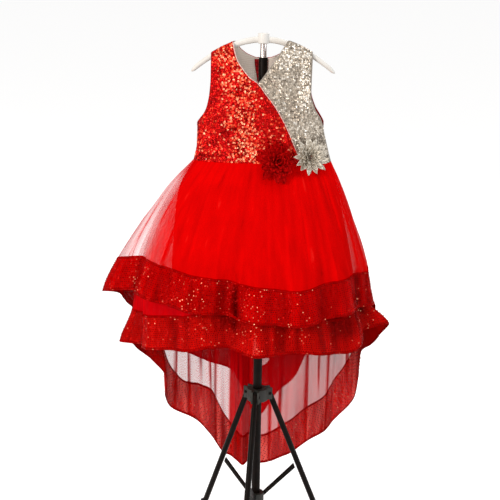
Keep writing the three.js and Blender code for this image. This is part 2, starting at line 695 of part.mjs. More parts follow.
// ---- hanger and stand ----------------------------------------------------------------------
// The bar: an oval section swept along its arch, closed and rounded at the ends.
function hangerBar() {
  const stations = 16;
  const sides = 8;
  const rings = [];
  for (let k = 0; k <= stations; k += 1) {
    const along = -Math.cos((Math.PI * k) / stations);
    const x = HANGER_HALF_SPAN * along;
    const end = Math.sqrt(clamp01((1 - Math.abs(along)) / 0.06 + 0.12));
    const round = Math.min(1, end);
    rings.push({ x, centre: barTop(x) - BAR_HEIGHT / 2, round });
  }
  const grid = rings.map((ring) => Array.from({ length: sides }, (_, i) => {
    const a = (2 * Math.PI * i) / sides;
    return new THREE.Vector3(
      ring.x,
      (BAR_DEPTH / 2) * ring.round * Math.sin(a),
      NECK_HEIGHT + ring.centre + (BAR_HEIGHT / 2) * ring.round * Math.cos(a),
    );
  }));
  const positions = grid.flat().flatMap((p) => p.toArray());
  const faces = [];
  const at = (k, i) => k * sides + (i % sides);
  for (let k = 0; k < stations; k += 1) {
    for (let i = 0; i < sides; i += 1) {
      faces.push(at(k, i), at(k + 1, i + 1), at(k, i + 1), at(k, i), at(k + 1, i), at(k + 1, i + 1));
    }
  }
  for (let i = 1; i < sides - 1; i += 1) {
    faces.push(at(0, 0), at(0, i), at(0, i + 1), at(stations, 0), at(stations, i + 1), at(stations, i));
  }
  const geometry = new THREE.BufferGeometry();
  geometry.setAttribute('position', new THREE.Float32BufferAttribute(positions, 3));
  geometry.setIndex(faces);
  return geometry;
}

const BOSS = { radius: 11, bottom: -7, top: 13 };
function hanger() {
  const height = BOSS.top - BOSS.bottom;
  const boss = new THREE.CylinderGeometry(BOSS.radius, BOSS.radius, height, 20);
  boss.rotateX(Math.PI / 2);
  boss.translate(0, 0, NECK_HEIGHT + BOSS.bottom + height / 2);
  return toGeometry(toSolid(hangerBar()).add(toSolid(boss)));
}

const stand = {
  upperRadius: 6.2, lowerRadius: 8.8, step: 33, // drop where the upper tube leaves the lower one
  lowerBottom: 58, plugDepth: 60,
  collarTop: 315, collarBottom: 290, collarRadius: 21, lugReach: 30,
  legRadius: 6, legTop: 303, legStart: 26, legSpread: 22.3,
  footHeight: 20, footRadius: 9,
  hubBottom: 64, hubTop: 84, hubRadius: 17, slotDepth: 5.6,
  braceWidth: 10, braceDepth: 4, braceTop: 132,
};
const legAzimuths = [20, 140, 260];

function upright(radius, bottom, top, sides = 24) {
  const geometry = new THREE.CylinderGeometry(radius, radius, top - bottom, sides);
  geometry.rotateX(Math.PI / 2);
  geometry.translate(0, 0, (top + bottom) / 2);
  return geometry;
}

const lowerTop = NECK_HEIGHT - stand.step;
const upperTop = NECK_HEIGHT + BOSS.bottom - SEAM_GAP;

// The lower tube is open at its top, and the upper tube stands in it.
function poleLower() {
  const outer = toSolid(upright(stand.lowerRadius, stand.lowerBottom, lowerTop));
  const bore = toSolid(upright(stand.upperRadius + SEAM_GAP, lowerTop - stand.plugDepth, lowerTop + 5));
  return toGeometry(outer.subtract(bore));
}

const onAzimuth = (radius, azimuth, z) => new THREE.Vector3(
  radius * Math.cos(azimuth * DEGREE), radius * Math.sin(azimuth * DEGREE), z,
);

// The collar: a ring on the pole with three ears, each slotted for a leg's head.
function collar() {
  let solid = toSolid(upright(stand.collarRadius, stand.collarBottom, stand.collarTop, 30));
  for (const azimuth of legAzimuths) {
    const ear = box([stand.lugReach, 17, stand.collarTop - stand.collarBottom], [stand.lugReach / 2, 0, 0]);
    const slot = box([24, 9.2, 60], [stand.legStart + 2.6, 0, 0]);
    for (const piece of [ear, slot]) {
      piece.rotateZ(azimuth * DEGREE);
      piece.translate(0, 0, (stand.collarTop + stand.collarBottom) / 2);
    }
    solid = solid.add(toSolid(ear)).subtract(toSolid(slot));
  }
  return toGeometry(solid.subtract(toSolid(upright(stand.lowerRadius + SEAM_GAP, 0, 500))));
}

const legDirection = (azimuth) => onAzimuth(Math.sin(stand.legSpread * DEGREE), azimuth,
  -Math.cos(stand.legSpread * DEGREE)).normalize();
const legLine = (azimuth, z) => {
  const radius = stand.legStart + (stand.legTop - z) * Math.tan(stand.legSpread * DEGREE);
  return onAzimuth(radius, azimuth, z);
};

// A leg: a round tube whose head is flattened to fit between the collar's ears.
function leg(azimuth) {
  const top = legLine(azimuth, stand.legTop + 6);
  const bottom = legLine(azimuth, stand.footHeight * 0.5);
  const length = top.distanceTo(bottom);
  const tube = new THREE.CylinderGeometry(stand.legRadius, stand.legRadius, length, 12);
  const centre = top.clone().add(bottom).multiplyScalar(0.5);
  const turn = new THREE.Quaternion().setFromUnitVectors(new THREE.Vector3(0, -1, 0), legDirection(azimuth));
  tube.applyQuaternion(turn);
  tube.translate(...centre.toArray());
  let solid = toSolid(tube);
  for (const side of [-1, 1]) {
    const flat = box([60, 6, 40], [0, side * 7.2, 0]);
    flat.rotateZ(azimuth * DEGREE);
    flat.translate(...legLine(azimuth, stand.legTop).toArray());
    solid = solid.subtract(toSolid(flat));
  }
  return toGeometry(solid);
}

// A rubber foot: a cup that the leg stands in, flat on the floor.
function foot(azimuth, shaft) {
  const centre = legLine(azimuth, stand.footHeight / 2);
  const profile = [[0, 0], [stand.footRadius, 0], [stand.footRadius, 7], [stand.footRadius - 1.5, stand.footHeight],
    [0, stand.footHeight]].map(([r, z]) => new THREE.Vector2(r, z));
  const cup = new THREE.LatheGeometry(profile, 14);
  cup.rotateX(Math.PI / 2);
  cup.translate(centre.x, centre.y, 0);
  const hole = new THREE.CylinderGeometry(stand.legRadius + SEAM_GAP, stand.legRadius + SEAM_GAP, 60, 12);
  hole.translate(0, 30, 0);
  hole.applyQuaternion(new THREE.Quaternion().setFromUnitVectors(
    new THREE.Vector3(0, 1, 0), legDirection(azimuth).negate(),
  ));
  hole.translate(...legLine(azimuth, stand.footHeight * 0.5).addScaledVector(legDirection(azimuth), SEAM_GAP).toArray());
  return toGeometry(toSolid(cup).subtract(toSolid(hole)));
}

// The hub that ends the pole, with a slot for each brace.
const hubRise = stand.hubTop - stand.hubBottom;
function hub() {
  let solid = toSolid(upright(stand.hubRadius, stand.hubBottom, stand.hubTop, 30));
  for (const azimuth of legAzimuths) {
    const slot = box([20, stand.braceDepth + 2 * SEAM_GAP, hubRise + 2], [stand.hubRadius - stand.slotDepth + 10, 0, 0]);
    slot.rotateZ(azimuth * DEGREE);
    slot.translate(0, 0, (stand.hubBottom + stand.hubTop) / 2);
    solid = solid.subtract(toSolid(slot));
  }
  return toGeometry(solid.subtract(toSolid(upright(stand.lowerRadius + SEAM_GAP, 0, 500))));
}

// A brace: a flat strip from the hub's slot to the face of its leg.
function brace(azimuth) {
  const inner = onAzimuth(stand.hubRadius - stand.slotDepth + SEAM_GAP, azimuth, (stand.hubBottom + stand.hubTop) / 2);
  const away = (stand.legRadius + SEAM_GAP) / Math.cos(stand.legSpread * DEGREE);
  const outer = legLine(azimuth, stand.braceTop).add(onAzimuth(-away - 1.6, azimuth, 0));
  const run = Math.hypot(outer.x - inner.x, outer.y - inner.y);
  const rise = outer.z - inner.z;
  const shape = new THREE.Shape([
    new THREE.Vector2(0, -stand.braceWidth / 2), new THREE.Vector2(run, rise - stand.braceWidth / 2),
    new THREE.Vector2(run - 3.4, rise + stand.braceWidth / 2), new THREE.Vector2(0, stand.braceWidth / 2),
  ]);
  const geometry = new THREE.ExtrudeGeometry(shape, { depth: stand.braceDepth, bevelEnabled: false });
  geometry.translate(0, 0, -stand.braceDepth / 2);
  geometry.rotateX(Math.PI / 2);
  geometry.rotateZ(azimuth * DEGREE);
  geometry.translate(...inner.toArray());
  return geometry;
}

// ---- finishes ------------------------------------------------------------------------------
const finish = (color, roughness, metalness = 0) => new THREE.MeshStandardMaterial({ color, roughness, metalness });
const finishes = {
  redSequin: finish(0xc8281c, 0.35, 0.3),
  silverSequin: finish(0xb9afa2, 0.3, 0.6),
  beigeLining: finish(0xd5c3b2, 0.7),
  redTape: finish(0xa01824, 0.8),
  redLining: finish(0xd40808, 0.45),
  redTulle: finish(0xd62430, 0.8),
  redBand: finish(0xa51018, 0.5),
  redPetal: finish(0x8a0510, 0.7),
  silverPetal: finish(0xb4ab9b, 0.3, 0.5),
  zipMetal: finish(0xb0a8a0, 0.35, 0.9),
  whitePlastic: finish(0xeceae6, 0.4),
  blackTube: finish(0x2e2620, 0.35, 0.4),
  greyTube: finish(0x6a625c, 0.25, 0.8),
  darkPlastic: finish(0x2b2c24, 0.55),
  rubber: finish(0x1c1c1c, 0.85),
};

// ---- assembly ------------------------------------------------------------------------------
const gown = new THREE.Group();
function add(name, geometry, material, parent = gown) {
  const mesh = new THREE.Mesh(geometry, material);
  mesh.name = name;
  parent.add(mesh);
}

add('front_red', frontRed(), finishes.redSequin);
add('front_silver', frontSilver(), finishes.silverSequin);
for (const [side, name] of [[-1, 'right'], [1, 'left']]) {
  add(`back_${name}`, wall(backGrid(side), 0, BODICE_WALL), finishes.redSequin);
  add(`lining_back_${name}`, wall(backGrid(side, LINING_SHORT), LINING_DEPTH, LINING_DEPTH + LINING_WALL,
    { startRow: LINING_START_ROW }), finishes.beigeLining);
}
add('zip_tape', wall(zipTapeGrid(), TAPE_DEPTH, TAPE_DEPTH + TAPE_WALL), finishes.redTape);
add('zip_slider', zipSlider(), finishes.zipMetal);
add('zip_pull', zipPull(), finishes.zipMetal);
for (const [name, spec] of Object.entries(flowers)) {
  add(name, flower(spec), name === 'flower_red' ? finishes.redPetal : finishes.silverPetal);
}
const { tier1, tier2, lining } = layers;
add('skirt_lining', skirtWall(lining, anglesRound(54), LINING_ROWS.map((row) => () => row), LINING_WALL),
  finishes.redLining);
add('tier1_tulle', skirtWall(tier1, tier1Angles, tulleRows(tier1), TULLE_WALL), finishes.redTulle);
add('tier1_band', skirtWall(tier1, tier1Angles, bandRows(tier1), TULLE_WALL), finishes.redBand);
add('tier2_tulle', skirtWall(tier2, tier2Angles, tulleRows(tier2), TULLE_WALL), finishes.redTulle);
add('tier2_band', skirtWall(tier2, tier2Angles, bandRows(tier2), TULLE_WALL), finishes.redBand);

const tripod = new THREE.Group();
add('hanger', hanger(), finishes.whitePlastic, tripod);
add('pole_upper', upright(stand.upperRadius, lowerTop - stand.plugDepth + SEAM_GAP, upperTop), finishes.greyTube, tripod);
add('pole_lower', poleLower(), finishes.blackTube, tripod);
add('collar', collar(), finishes.darkPlastic, tripod);
add('hub', hub(), finishes.darkPlastic, tripod);
legAzimuths.forEach((azimuth, k) => {
  add(`leg_${k + 1}`, leg(azimuth), finishes.blackTube, tripod);
  add(`foot_${k + 1}`, foot(azimuth), finishes.rubber, tripod);
  add(`brace_${k + 1}`, brace(azimuth), finishes.blackTube, tripod);
});
gown.add(tripod);

// The origin is the middle of the object's box, on the floor.
const extent = new THREE.Box3().setFromObject(gown, true);
gown.position.set(-(extent.min.x + extent.max.x) / 2, -(extent.min.y + extent.max.y) / 2, -extent.min.z);

export default gown;
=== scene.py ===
"""Finishes of a girl's sequin party gown and its hanger stand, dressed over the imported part.

Cloth shapes are worked out in millimetres round the pole, with heights as drops below the neck
end of the shoulder line, and are then put in the part's frame in metres.
"""
import math

import bpy
import numpy as np
from mathutils import Matrix, Vector, noise


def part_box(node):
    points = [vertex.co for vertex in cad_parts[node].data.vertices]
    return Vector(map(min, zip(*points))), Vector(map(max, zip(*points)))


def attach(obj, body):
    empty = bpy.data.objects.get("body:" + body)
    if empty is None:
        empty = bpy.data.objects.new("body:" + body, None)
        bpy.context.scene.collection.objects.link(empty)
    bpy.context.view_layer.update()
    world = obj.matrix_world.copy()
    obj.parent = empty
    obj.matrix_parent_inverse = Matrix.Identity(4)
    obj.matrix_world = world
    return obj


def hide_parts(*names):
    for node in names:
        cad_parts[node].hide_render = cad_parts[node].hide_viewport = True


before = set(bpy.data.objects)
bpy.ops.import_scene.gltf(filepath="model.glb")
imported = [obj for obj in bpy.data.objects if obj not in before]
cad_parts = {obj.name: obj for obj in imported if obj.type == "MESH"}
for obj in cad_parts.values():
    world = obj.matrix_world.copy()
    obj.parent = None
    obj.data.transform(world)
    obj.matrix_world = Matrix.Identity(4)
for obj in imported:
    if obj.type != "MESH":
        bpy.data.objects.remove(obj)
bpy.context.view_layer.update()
bpy.ops.object.select_all(action="DESELECT")

MM = 0.001
DEGREE = math.pi / 180
SEED = 1889  # for the draws, and for the noise, which otherwise differs from run to run
rng = np.random.default_rng(SEED)
noise.seed_set(SEED)

POLE = sum(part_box("pole_lower"), Vector()) / 2
POLE.z = 0

# ---- sizes of the gown, in millimetres -------------------------------------------------------
NECK_HEIGHT = 1020
WAIST_DROP = 232
SEAM_GAP = 0.3
BODICE_WALL = 1.5
LAYER_STEP = 2.0
NET_DEPTH = 0.5  # a net sheet lies this far under its solid's outer face
FRONT_DEPTH = 40
BACK_DEPTH = 36
SHOULDER_ROLL = 70
SHOULDER_SHAPE = 0.6
WRAP_UNDERLAP = 15
WRAP_TUCK = 7  # how far the silver edge is already under the red one at the crossing
WRAP_FLAT = 19
WRAP_EASE = 25
WRAP_SLACK = 0.3
BAND_WIDTH = 71
BAND_DRAPE = 0.94  # the share of its width that a band hangs down
STEEPEST_BAND = 2.2  # slope of a hem past which its band gets no taller
HANGER_HALF_SPAN = 139
HANGER_RISE = 62
HANGER_CURVE = 1.9
HANGER_CENTRE = 7
STRAP_GAP = 0.6


# ---- numbers ---------------------------------------------------------------------------------
def table(columns, *rows):
    """Rows of numbers, kept as one array for each named column."""
    return {name: np.array(values, float) for name, values in zip(columns.split(), zip(*rows))}


def mix(a, b, t):
    return a + (b - a) * t


def smooth(start, end, x):
    t = np.clip((x - start) / (end - start), 0, 1)
    return t * t * (3 - 2 * t)


def plateau(start, full, fade, end, x):
    """Rises from 0 to 1 between start and full, and falls to 0 again between fade and end."""
    return smooth(start, full, x) * (1 - smooth(fade, end, x))


def wrap_angle(angle):
    return (angle + 180) % 360 - 180


def curve_through(rows, x, y, period=0):
    """A smooth curve through column y against column x, with no overshoot."""
    xs, ys = rows[x], rows[y]
    if period:
        xs = np.concatenate([xs[-2:] - period, xs, xs[:2] + period])
        ys = np.concatenate([ys[-2:], ys, ys[:2]])
    slopes = np.diff(ys) / np.diff(xs)
    before, after = slopes[:-1], slopes[1:]
    total = np.where(before + after == 0, 1, before + after)
    inner = np.where(before * after > 0, 2 * before * after / total, 0)
    tangents = np.concatenate([slopes[:1], inner, slopes[-1:]])

    def curve(at):
        at = np.clip(at, xs[0], xs[-1])
        i = np.clip(np.searchsorted(xs, at, side="right") - 1, 0, len(xs) - 2)
        span = xs[i + 1] - xs[i]
        t = (at - xs[i]) / span
        bend = t * (1 - t) ** 2 * tangents[i] - t * t * (1 - t) * tangents[i + 1]
        return mix(ys[i], ys[i + 1], (3 - 2 * t) * t * t) + bend * span

    return curve


def unit(vectors):
    return vectors / np.maximum(np.linalg.norm(vectors, axis=-1, keepdims=True), 1e-9)


# ---- bodice ----------------------------------------------------------------------------------
BODY_SECTIONS = table(
    "drop right left",
    (-20, 126, 120), (100, 126, 119), (160, 127, 120), (203, 128, 129), (232, 134, 137),
)
FRONT_ARMHOLES = table(
    "drop right left",
    (0, 101, 95), (40, 100, 94), (70, 100, 93), (100, 102, 92.5), (126, 107, 100), (142, 114, 108),
    (158, 126, 117), (168, 130, 124), (178, 140, 140),
)
BACK_ARMHOLES = table(
    "drop right left",
    (0, 101, 95), (60, 99, 94), (100, 101.5, 95), (126, 106, 103), (142, 113, 113), (152, 121, 119),
    (164, 130, 124), (178, 140, 140),
)
RED_NECK_EDGE = table(
    "drop x",
    (-5, -62), (37, -50), (55, -38), (70, -25), (81, -9), (98, 4), (124, 24), (158, 44), (193, 60),
    (232, 77),
)
SILVER_NECK_EDGE = table("drop x", (-5, 51), (32, 26), (51, 13), (64, 4), (76, -5), (86, -15))
BACK_NECK_EDGE = table("drop x", (-5, 57), (14, 47), (26, 34), (34, 17), (38, 0))

body_right = curve_through(BODY_SECTIONS, "drop", "right")
body_left = curve_through(BODY_SECTIONS, "drop", "left")
red_edge = curve_through(RED_NECK_EDGE, "drop", "x")
silver_edge = curve_through(SILVER_NECK_EDGE, "drop", "x")
back_neck = curve_through(BACK_NECK_EDGE, "drop", "x")


def bar_top(x):
    return HANGER_CENTRE - HANGER_RISE * (np.abs(x) / HANGER_HALF_SPAN) ** HANGER_CURVE


def shoulder_line(x):
    slope = bar_top(x + 0.5) - bar_top(x - 0.5)
    return bar_top(x) + (STRAP_GAP + BODICE_WALL) * np.hypot(1, slope)


def body_half(drop, side):
    return np.where(side < 0, body_right(drop), body_left(drop))


def armhole(rows, side):
    edge = curve_through(rows, "drop", "right" if side < 0 else "left")
    return lambda drop: side * np.minimum(edge(drop), body_half(drop, side))


def turn_at(x, drop):
    return np.arcsin(np.clip(x / body_half(drop, np.sign(x)), -1, 1))


def body_point(turn, drop, face):
    """A point of the bodice: turn is the angle from the middle of the front (face -1) or back."""
    x = body_half(drop, turn) * np.sin(turn)
    under = np.clip((drop + shoulder_line(x)) / SHOULDER_ROLL, 0, 1)
    opened = np.sin(math.pi / 2 * under) ** SHOULDER_SHAPE
    depth = (FRONT_DEPTH if face < 0 else BACK_DEPTH) * np.cos(turn) * opened
    return np.stack([x, face * (depth + SEAM_GAP / 2), NECK_HEIGHT - drop], axis=-1)


red_armhole = armhole(FRONT_ARMHOLES, -1)
silver_armhole = armhole(FRONT_ARMHOLES, 1)


def silver_inner(drop):
    """The silver front's neck edge, and below the crossing its hidden edge under the red one."""
    hidden = red_edge(drop) - mix(0, WRAP_UNDERLAP, smooth(76, 110, drop)) - WRAP_TUCK
    return np.where(drop < SILVER_NECK_EDGE["drop"][-1], silver_edge(drop), hidden)


# ---- skirt layers ----------------------------------------------------------------------------
TIER1_SECTIONS = table(
    "drop right left front back",
    (0, 134, 137, 40, 36), (63, 190, 165, 78, 78), (134, 234, 191, 118, 122), (203, 264, 212, 148, 158),
    (286, 284, 228, 170, 190), (330, 264, 243, 172, 200), (400, 258, 248, 172, 208),
    (580, 235, 232, 172, 214),
)
TIER2_SECTIONS = table(
    "drop right left front back",
    (0, 134, 137, 40, 36), (63, 179, 160, 70, 72), (134, 218, 181, 104, 110), (203, 246, 196, 128, 138),
    (270, 252, 210, 147, 160), (327, 252, 228, 158, 174), (375, 256, 234, 164, 180),
    (430, 240, 232, 164, 184), (550, 236, 230, 164, 190), (723, 222, 225, 164, 194),
)
LINING_SECTIONS = table(
    "drop right left front back",
    (0, 134, 137, 40, 36), (60, 166, 155, 64, 66), (130, 175, 172, 94, 92), (200, 180, 186, 112, 112),
    (270, 184, 196, 126, 128), (300, 185, 198, 130, 132),
)
# Hem drops by angle: 0 is the middle of the front, 90 the wearer's left, 180 the middle back.
TIER1_HEM = table(
    "angle drop",
    (-166, 505), (-152, 476), (-139, 446), (-115, 350), (-90, 272), (-62, 252), (-38, 266), (-18, 275),
    (0, 286), (18, 293), (40, 283), (60, 277), (90, 286), (115, 350), (138, 400), (151, 440), (160, 522),
    (169, 562), (179, 618),
)
TIER2_HEM = table(
    "angle drop",
    (-163, 702), (-153, 646), (-144, 604), (-131, 572), (-121, 520), (-110, 452), (-101, 410), (-90, 375),
    (-62, 366), (-38, 356), (-17, 341), (0, 354), (22, 350), (48, 362), (66, 338), (85, 326), (97, 382),
    (107, 412), (117, 520), (127, 574), (139, 626), (149, 656), (161, 694), (177, 723),
)
LINING_HEM = table("angle drop", (-120, 292), (-60, 298), (0, 300), (60, 294), (120, 290), (180, 298))
# Hem waves: half width in degrees, how far each stands out at the hem, how far down it starts.
TIER1_FOLDS = table(
    "angle width out start",
    (-172, 9, 8, 0.3), (-155, 9, -9, 0.35), (-139, 9, 10, 0.3), (-123, 8, -9, 0.3), (-108, 8, 10, 0.25),
    (-95, 7, -8, 0.3), (-84, 9, 34, 0.3), (-66, 6, -10, 0.3), (-53, 7, 8, 0.25), (-40, 6, -7, 0.35),
    (-27, 7, 7, 0.4), (-13, 5.5, -24, 0.5), (-2, 6, 8, 0.45), (10, 6, -6, 0.35), (22, 7, 8, 0.3),
    (36, 6, -7, 0.4), (49, 7, 8, 0.25), (62, 6, -8, 0.35), (75, 7, 8, 0.3), (88, 6, -7, 0.3),
    (102, 8, 10, 0.25), (118, 8, -9, 0.3), (134, 9, 10, 0.3), (149, 8, -8, 0.35), (166, 9, 9, 0.3),
)
TIER2_FOLDS = table(
    "angle width out start",
    (-178, 3.4, 9, 0.4), (-171, 3.4, -30, 0.4), (-164, 3.4, 10, 0.4), (-151, 7, -9, 0.45),
    (-130, 7, 14, 0.5), (-114, 7, -26, 0.55), (-100, 5, 6, 0.5), (-86, 7, 28, 0.74), (-72, 6, -9, 0.45),
    (-58, 6, 8, 0.4), (-44, 6, -8, 0.45), (-30, 6, 7, 0.45), (-14, 5, -12, 0.5), (-2, 6, 7, 0.5),
    (14, 6, -8, 0.45), (29, 6, 8, 0.4), (43, 6, -9, 0.45), (57, 6, 8, 0.4), (71, 6, -9, 0.45),
    (86, 8, 38, 0.82), (105, 6, -8, 0.4), (118, 6, 8, 0.4), (131, 6, -10, 0.45), (145, 7, 8, 0.4),
    (159, 6, -9, 0.45),
)
LINING_FOLDS = table(
    "angle width out start",
    (-150, 14, 6, 0.3), (-105, 14, -5, 0.3), (-62, 13, 5, 0.3), (-22, 12, -5, 0.3), (18, 13, 5, 0.3),
    (58, 12, -5, 0.3), (100, 14, 5, 0.3), (145, 13, -5, 0.3),
)
# Creases pressed in by storage and by the gathers: half width in degrees, how far each stands
# out, the share of the way down where it starts and ends, and how far round it drifts.
TIER1_CREASES = table(
    "angle width out start end drift",
    (-176, 1.6, 3.0, 0.05, 0.95, 3), (-163, 1.3, -3.5, 0.1, 0.8, -2), (-147, 1.8, 3.5, 0.3, 1.1, 2),
    (-131, 1.4, -3.0, 0.02, 0.7, 4), (-116, 1.6, 4.0, 0.2, 1.1, -3), (-101, 1.2, -3.0, 0.05, 0.9, 2),
    (-91, 1.4, 4.5, 0.25, 1.1, 5), (-79, 1.1, -4.0, 0.1, 0.75, 6), (-74, 1.3, 3.5, 0.4, 1.1, -3),
    (-60, 1.2, 3.0, 0.05, 0.6, 2), (-46, 1.5, 3.5, 0.3, 1.1, -2), (-33, 1.2, -2.5, 0.03, 0.7, 1),
    (-19, 1.6, 4.5, 0.45, 1.1, 2), (-8, 1.4, 4.0, 0.5, 1.1, -1), (4, 1.2, -2.5, 0.05, 0.8, 1),
    (15, 1.5, 3.0, 0.35, 1.1, 2), (28, 1.1, -2.5, 0.1, 0.7, -2), (42, 1.4, 3.5, 0.4, 1.1, 3),
    (55, 1.2, -3.0, 0.04, 0.6, -2), (68, 1.6, 4.0, 0.45, 1.1, -4), (81, 1.3, -3.5, 0.15, 1.1, 2),
    (95, 1.5, 3.5, 0.3, 0.9, 3), (111, 1.3, -3.5, 0.05, 0.8, -3), (126, 1.6, 3.5, 0.3, 1.1, 2),
    (142, 1.2, -3.0, 0.1, 0.9, -2), (158, 1.5, 3.5, 0.35, 1.1, 2), (172, 1.3, -3.5, 0.05, 0.85, 3),
)
TIER2_CREASES = table(
    "angle width out start end drift",
    (-175.4, 0.8, 6.0, 0.45, 1.1, 0.5), (-168.6, 0.9, 6.0, 0.42, 1.1, -0.6),
    (-158, 1.1, 4.0, 0.35, 1.1, 2), (-153, 0.7, -3.5, 0.5, 0.95, -1), (-147, 1.0, -4.0, 0.3, 0.9, -2),
    (-141, 0.8, 4.0, 0.55, 1.1, 1), (-134, 0.9, -3.5, 0.4, 1.1, 2), (-121, 1.2, 4.5, 0.45, 1.1, -3),
    (-107, 1.3, -4.0, 0.3, 1.1, 3), (-93, 1.4, 4.5, 0.5, 1.1, 4), (-79, 1.2, -4.0, 0.4, 1.1, -3),
    (-65, 1.5, 3.5, 0.55, 1.1, 2), (-51, 1.2, -3.0, 0.3, 0.9, -2), (-36, 1.4, 3.5, 0.5, 1.1, 2),
    (-21, 1.2, 4.0, 0.5, 1.1, 1), (-8, 1.3, -3.5, 0.4, 1.1, -1), (6, 1.4, 3.5, 0.5, 1.1, 2),
    (21, 1.2, -3.5, 0.35, 1.1, -2), (36, 1.5, 3.5, 0.55, 1.1, 1), (50, 1.2, -3.0, 0.3, 0.9, 2),
    (64, 1.5, 4.0, 0.6, 1.1, -2), (78, 1.3, -5.0, 0.6, 1.1, 2), (93, 1.3, -5.0, 0.6, 1.1, -2),
    (111, 1.0, 4.0, 0.4, 1.1, 2), (124, 0.8, -3.5, 0.45, 0.95, -1), (138, 0.9, 4.0, 0.35, 1.1, 1),
    (144, 0.7, -3.5, 0.5, 0.9, 1), (152, 1.0, 4.0, 0.4, 1.1, -2), (166, 0.8, -4.0, 0.45, 1.0, 1),
    (173, 0.9, 4.0, 0.35, 1.1, -1),
)
LINING_CREASES = table(
    "angle width out start end drift",
    (-84, 3.0, -3.0, 0.1, 0.9, 3), (-48, 3.4, 3.0, 0.2, 1.1, -2), (-30, 2.6, -2.5, 0.1, 0.8, 2),
    (-8, 3.2, 3.0, 0.2, 1.1, 1), (8, 2.8, -3.0, 0.05, 0.9, -2), (30, 3.2, 3.0, 0.2, 1.1, 2),
    (46, 2.8, -2.5, 0.1, 0.9, -2), (74, 3.0, 3.0, 0.2, 1.1, 3), (122, 3.4, -3.0, 0.1, 0.9, 2),
    (165, 3.0, 3.0, 0.1, 1.1, -3), (-170, 3.2, -3.0, 0.1, 0.9, 2), (-128, 3.0, 3.0, 0.1, 1.1, -3),
)
# Painted shadows, where the net's colour is made deepest: half width in degrees, how deep, where it starts
# and ends.
TIER1_SHADOWS = table(
    "angle width depth start end",
    (-9, 3, 0.2, 0.8, 1.1), (-26, 4, 0.1, 0.8, 1.1), (38, 6, 0.1, 0.8, 1.1), (72, 16, 0.16, 0.78, 1.1),
    (-50, 6, 0.1, 0.8, 1.1),
)
TIER2_SHADOWS = table(
    "angle width depth start end",
    (62, 28, 0.36, 0.7, 0.88), (14, 20, 0.1, 0.72, 0.82), (-14, 9, 0.24, 0.7, 0.86),
    (-34, 10, 0.14, 0.72, 0.82),
)
GATHERS = 24
FINE_GATHERS = table(
    "waves phase height",
    (37, 0.4, 0.4), (53, 2.1, 0.3), (71, 4.0, 0.25), (94, 1.2, 0.2),
)
# Painted light: the net's colour is painted lighter where it is thin.
SHEER_PAINTED_LIGHT = 0.3  # how much lighter the net's colour is where it is thinnest
CREASE_LINE = 0.38  # half width in degrees of the net that is folded over along a crease


def standing_out(layer, angle, fraction, drop):
    """How far the gathers, hem waves and creases stand out of a layer's plain section."""
    fade = smooth(2, 30, drop)
    out = layer["gather"] * np.cos(GATHERS * angle * DEGREE) * fade * (1 - 0.7 * smooth(60, 220, drop))
    for waves, phase, height in zip(*FINE_GATHERS.values()):
        swing = 0.5 * np.sin(waves * 0.21 + drop / 90)
        out = out + layer["gather"] * height * fade * np.cos(waves * angle * DEGREE + phase + swing)
    for angle_at, width, height, start in zip(*layer["folds"].values()):
        away = wrap_angle(angle - angle_at) / width
        out = out + height * np.exp(-away * away) * smooth(start, 1, fraction)
    for angle_at, width, height, start, end, drift in zip(*layer["creases"].values()):
        away = np.abs(wrap_angle(angle - angle_at - drift * (fraction - start))) / width
        length = plateau(start, start + 0.25, end - 0.2, end, fraction)
        out = out + height * np.exp(-(away ** 1.5)) * length * smooth(10, 120, drop)
    return out


def skirt_point(layer, angle, fraction):
    """A point of a skirt layer, at a share of the way from the waist seam to the hem."""
    drop = fraction * layer["hem"](wrap_angle(angle))
    s, c = np.sin(angle * DEGREE), np.cos(angle * DEGREE)
    reach_x = np.where(s < 0, layer["right"](drop), layer["left"](drop)) - layer["inset"]
    reach_y = np.where(c > 0, layer["front"](drop), layer["back"](drop)) - layer["inset"]
    normal = unit(np.stack([s * reach_y, -c * reach_x], axis=-1))
    out = standing_out(layer, angle, fraction, drop) - NET_DEPTH
    x = s * reach_x + normal[..., 0] * out
    y = -c * reach_y + normal[..., 1] * out
    return np.stack([x, y, NECK_HEIGHT - WAIST_DROP - SEAM_GAP / 2 - drop], axis=-1)


def band_top_of(layer):
    """The share of the way down where a hem band starts, as a smooth curve of the angle."""
    angles = np.arange(-180, 180, 1.0)
    here, beside = (skirt_point(layer, angles + step, np.ones_like(angles)) for step in (0, 2))
    level = np.hypot(beside[:, 0] - here[:, 0], beside[:, 1] - here[:, 1])
    slope = np.minimum(STEEPEST_BAND, np.abs(beside[:, 2] - here[:, 2]) / level)
    share = 1 - BAND_WIDTH * BAND_DRAPE * np.hypot(1, slope) / layer["hem"](angles)
    share = np.mean([np.roll(share, step) for step in range(-6, 7)], axis=0)
    return lambda angle: np.interp(wrap_angle(angle), angles, share, period=360)


def skirt_layer(sections, hem, folds, creases, shadows, inset, gather):
    layer = {"folds": folds, "creases": creases, "shadows": shadows, "inset": inset, "gather": gather}
    for reach in ("right", "left", "front", "back"):
        layer[reach] = curve_through(sections, "drop", reach)
    layer["hem"] = curve_through(hem, "angle", "drop", 360)
    layer["band_top"] = band_top_of(layer)
    return layer


TIER1 = skirt_layer(TIER1_SECTIONS, TIER1_HEM, TIER1_FOLDS, TIER1_CREASES, TIER1_SHADOWS, 0, 0.8)
TIER2 = skirt_layer(TIER2_SECTIONS, TIER2_HEM, TIER2_FOLDS, TIER2_CREASES, TIER2_SHADOWS, LAYER_STEP, 0.8)
LINING = skirt_layer(LINING_SECTIONS, LINING_HEM, LINING_FOLDS, LINING_CREASES, {}, 2 * LAYER_STEP, 0.7)


# ---- materials -------------------------------------------------------------------------------
WAVE_TURNS = 1000 / 20  # a wave texture at scale 1 repeats every 1/20 m


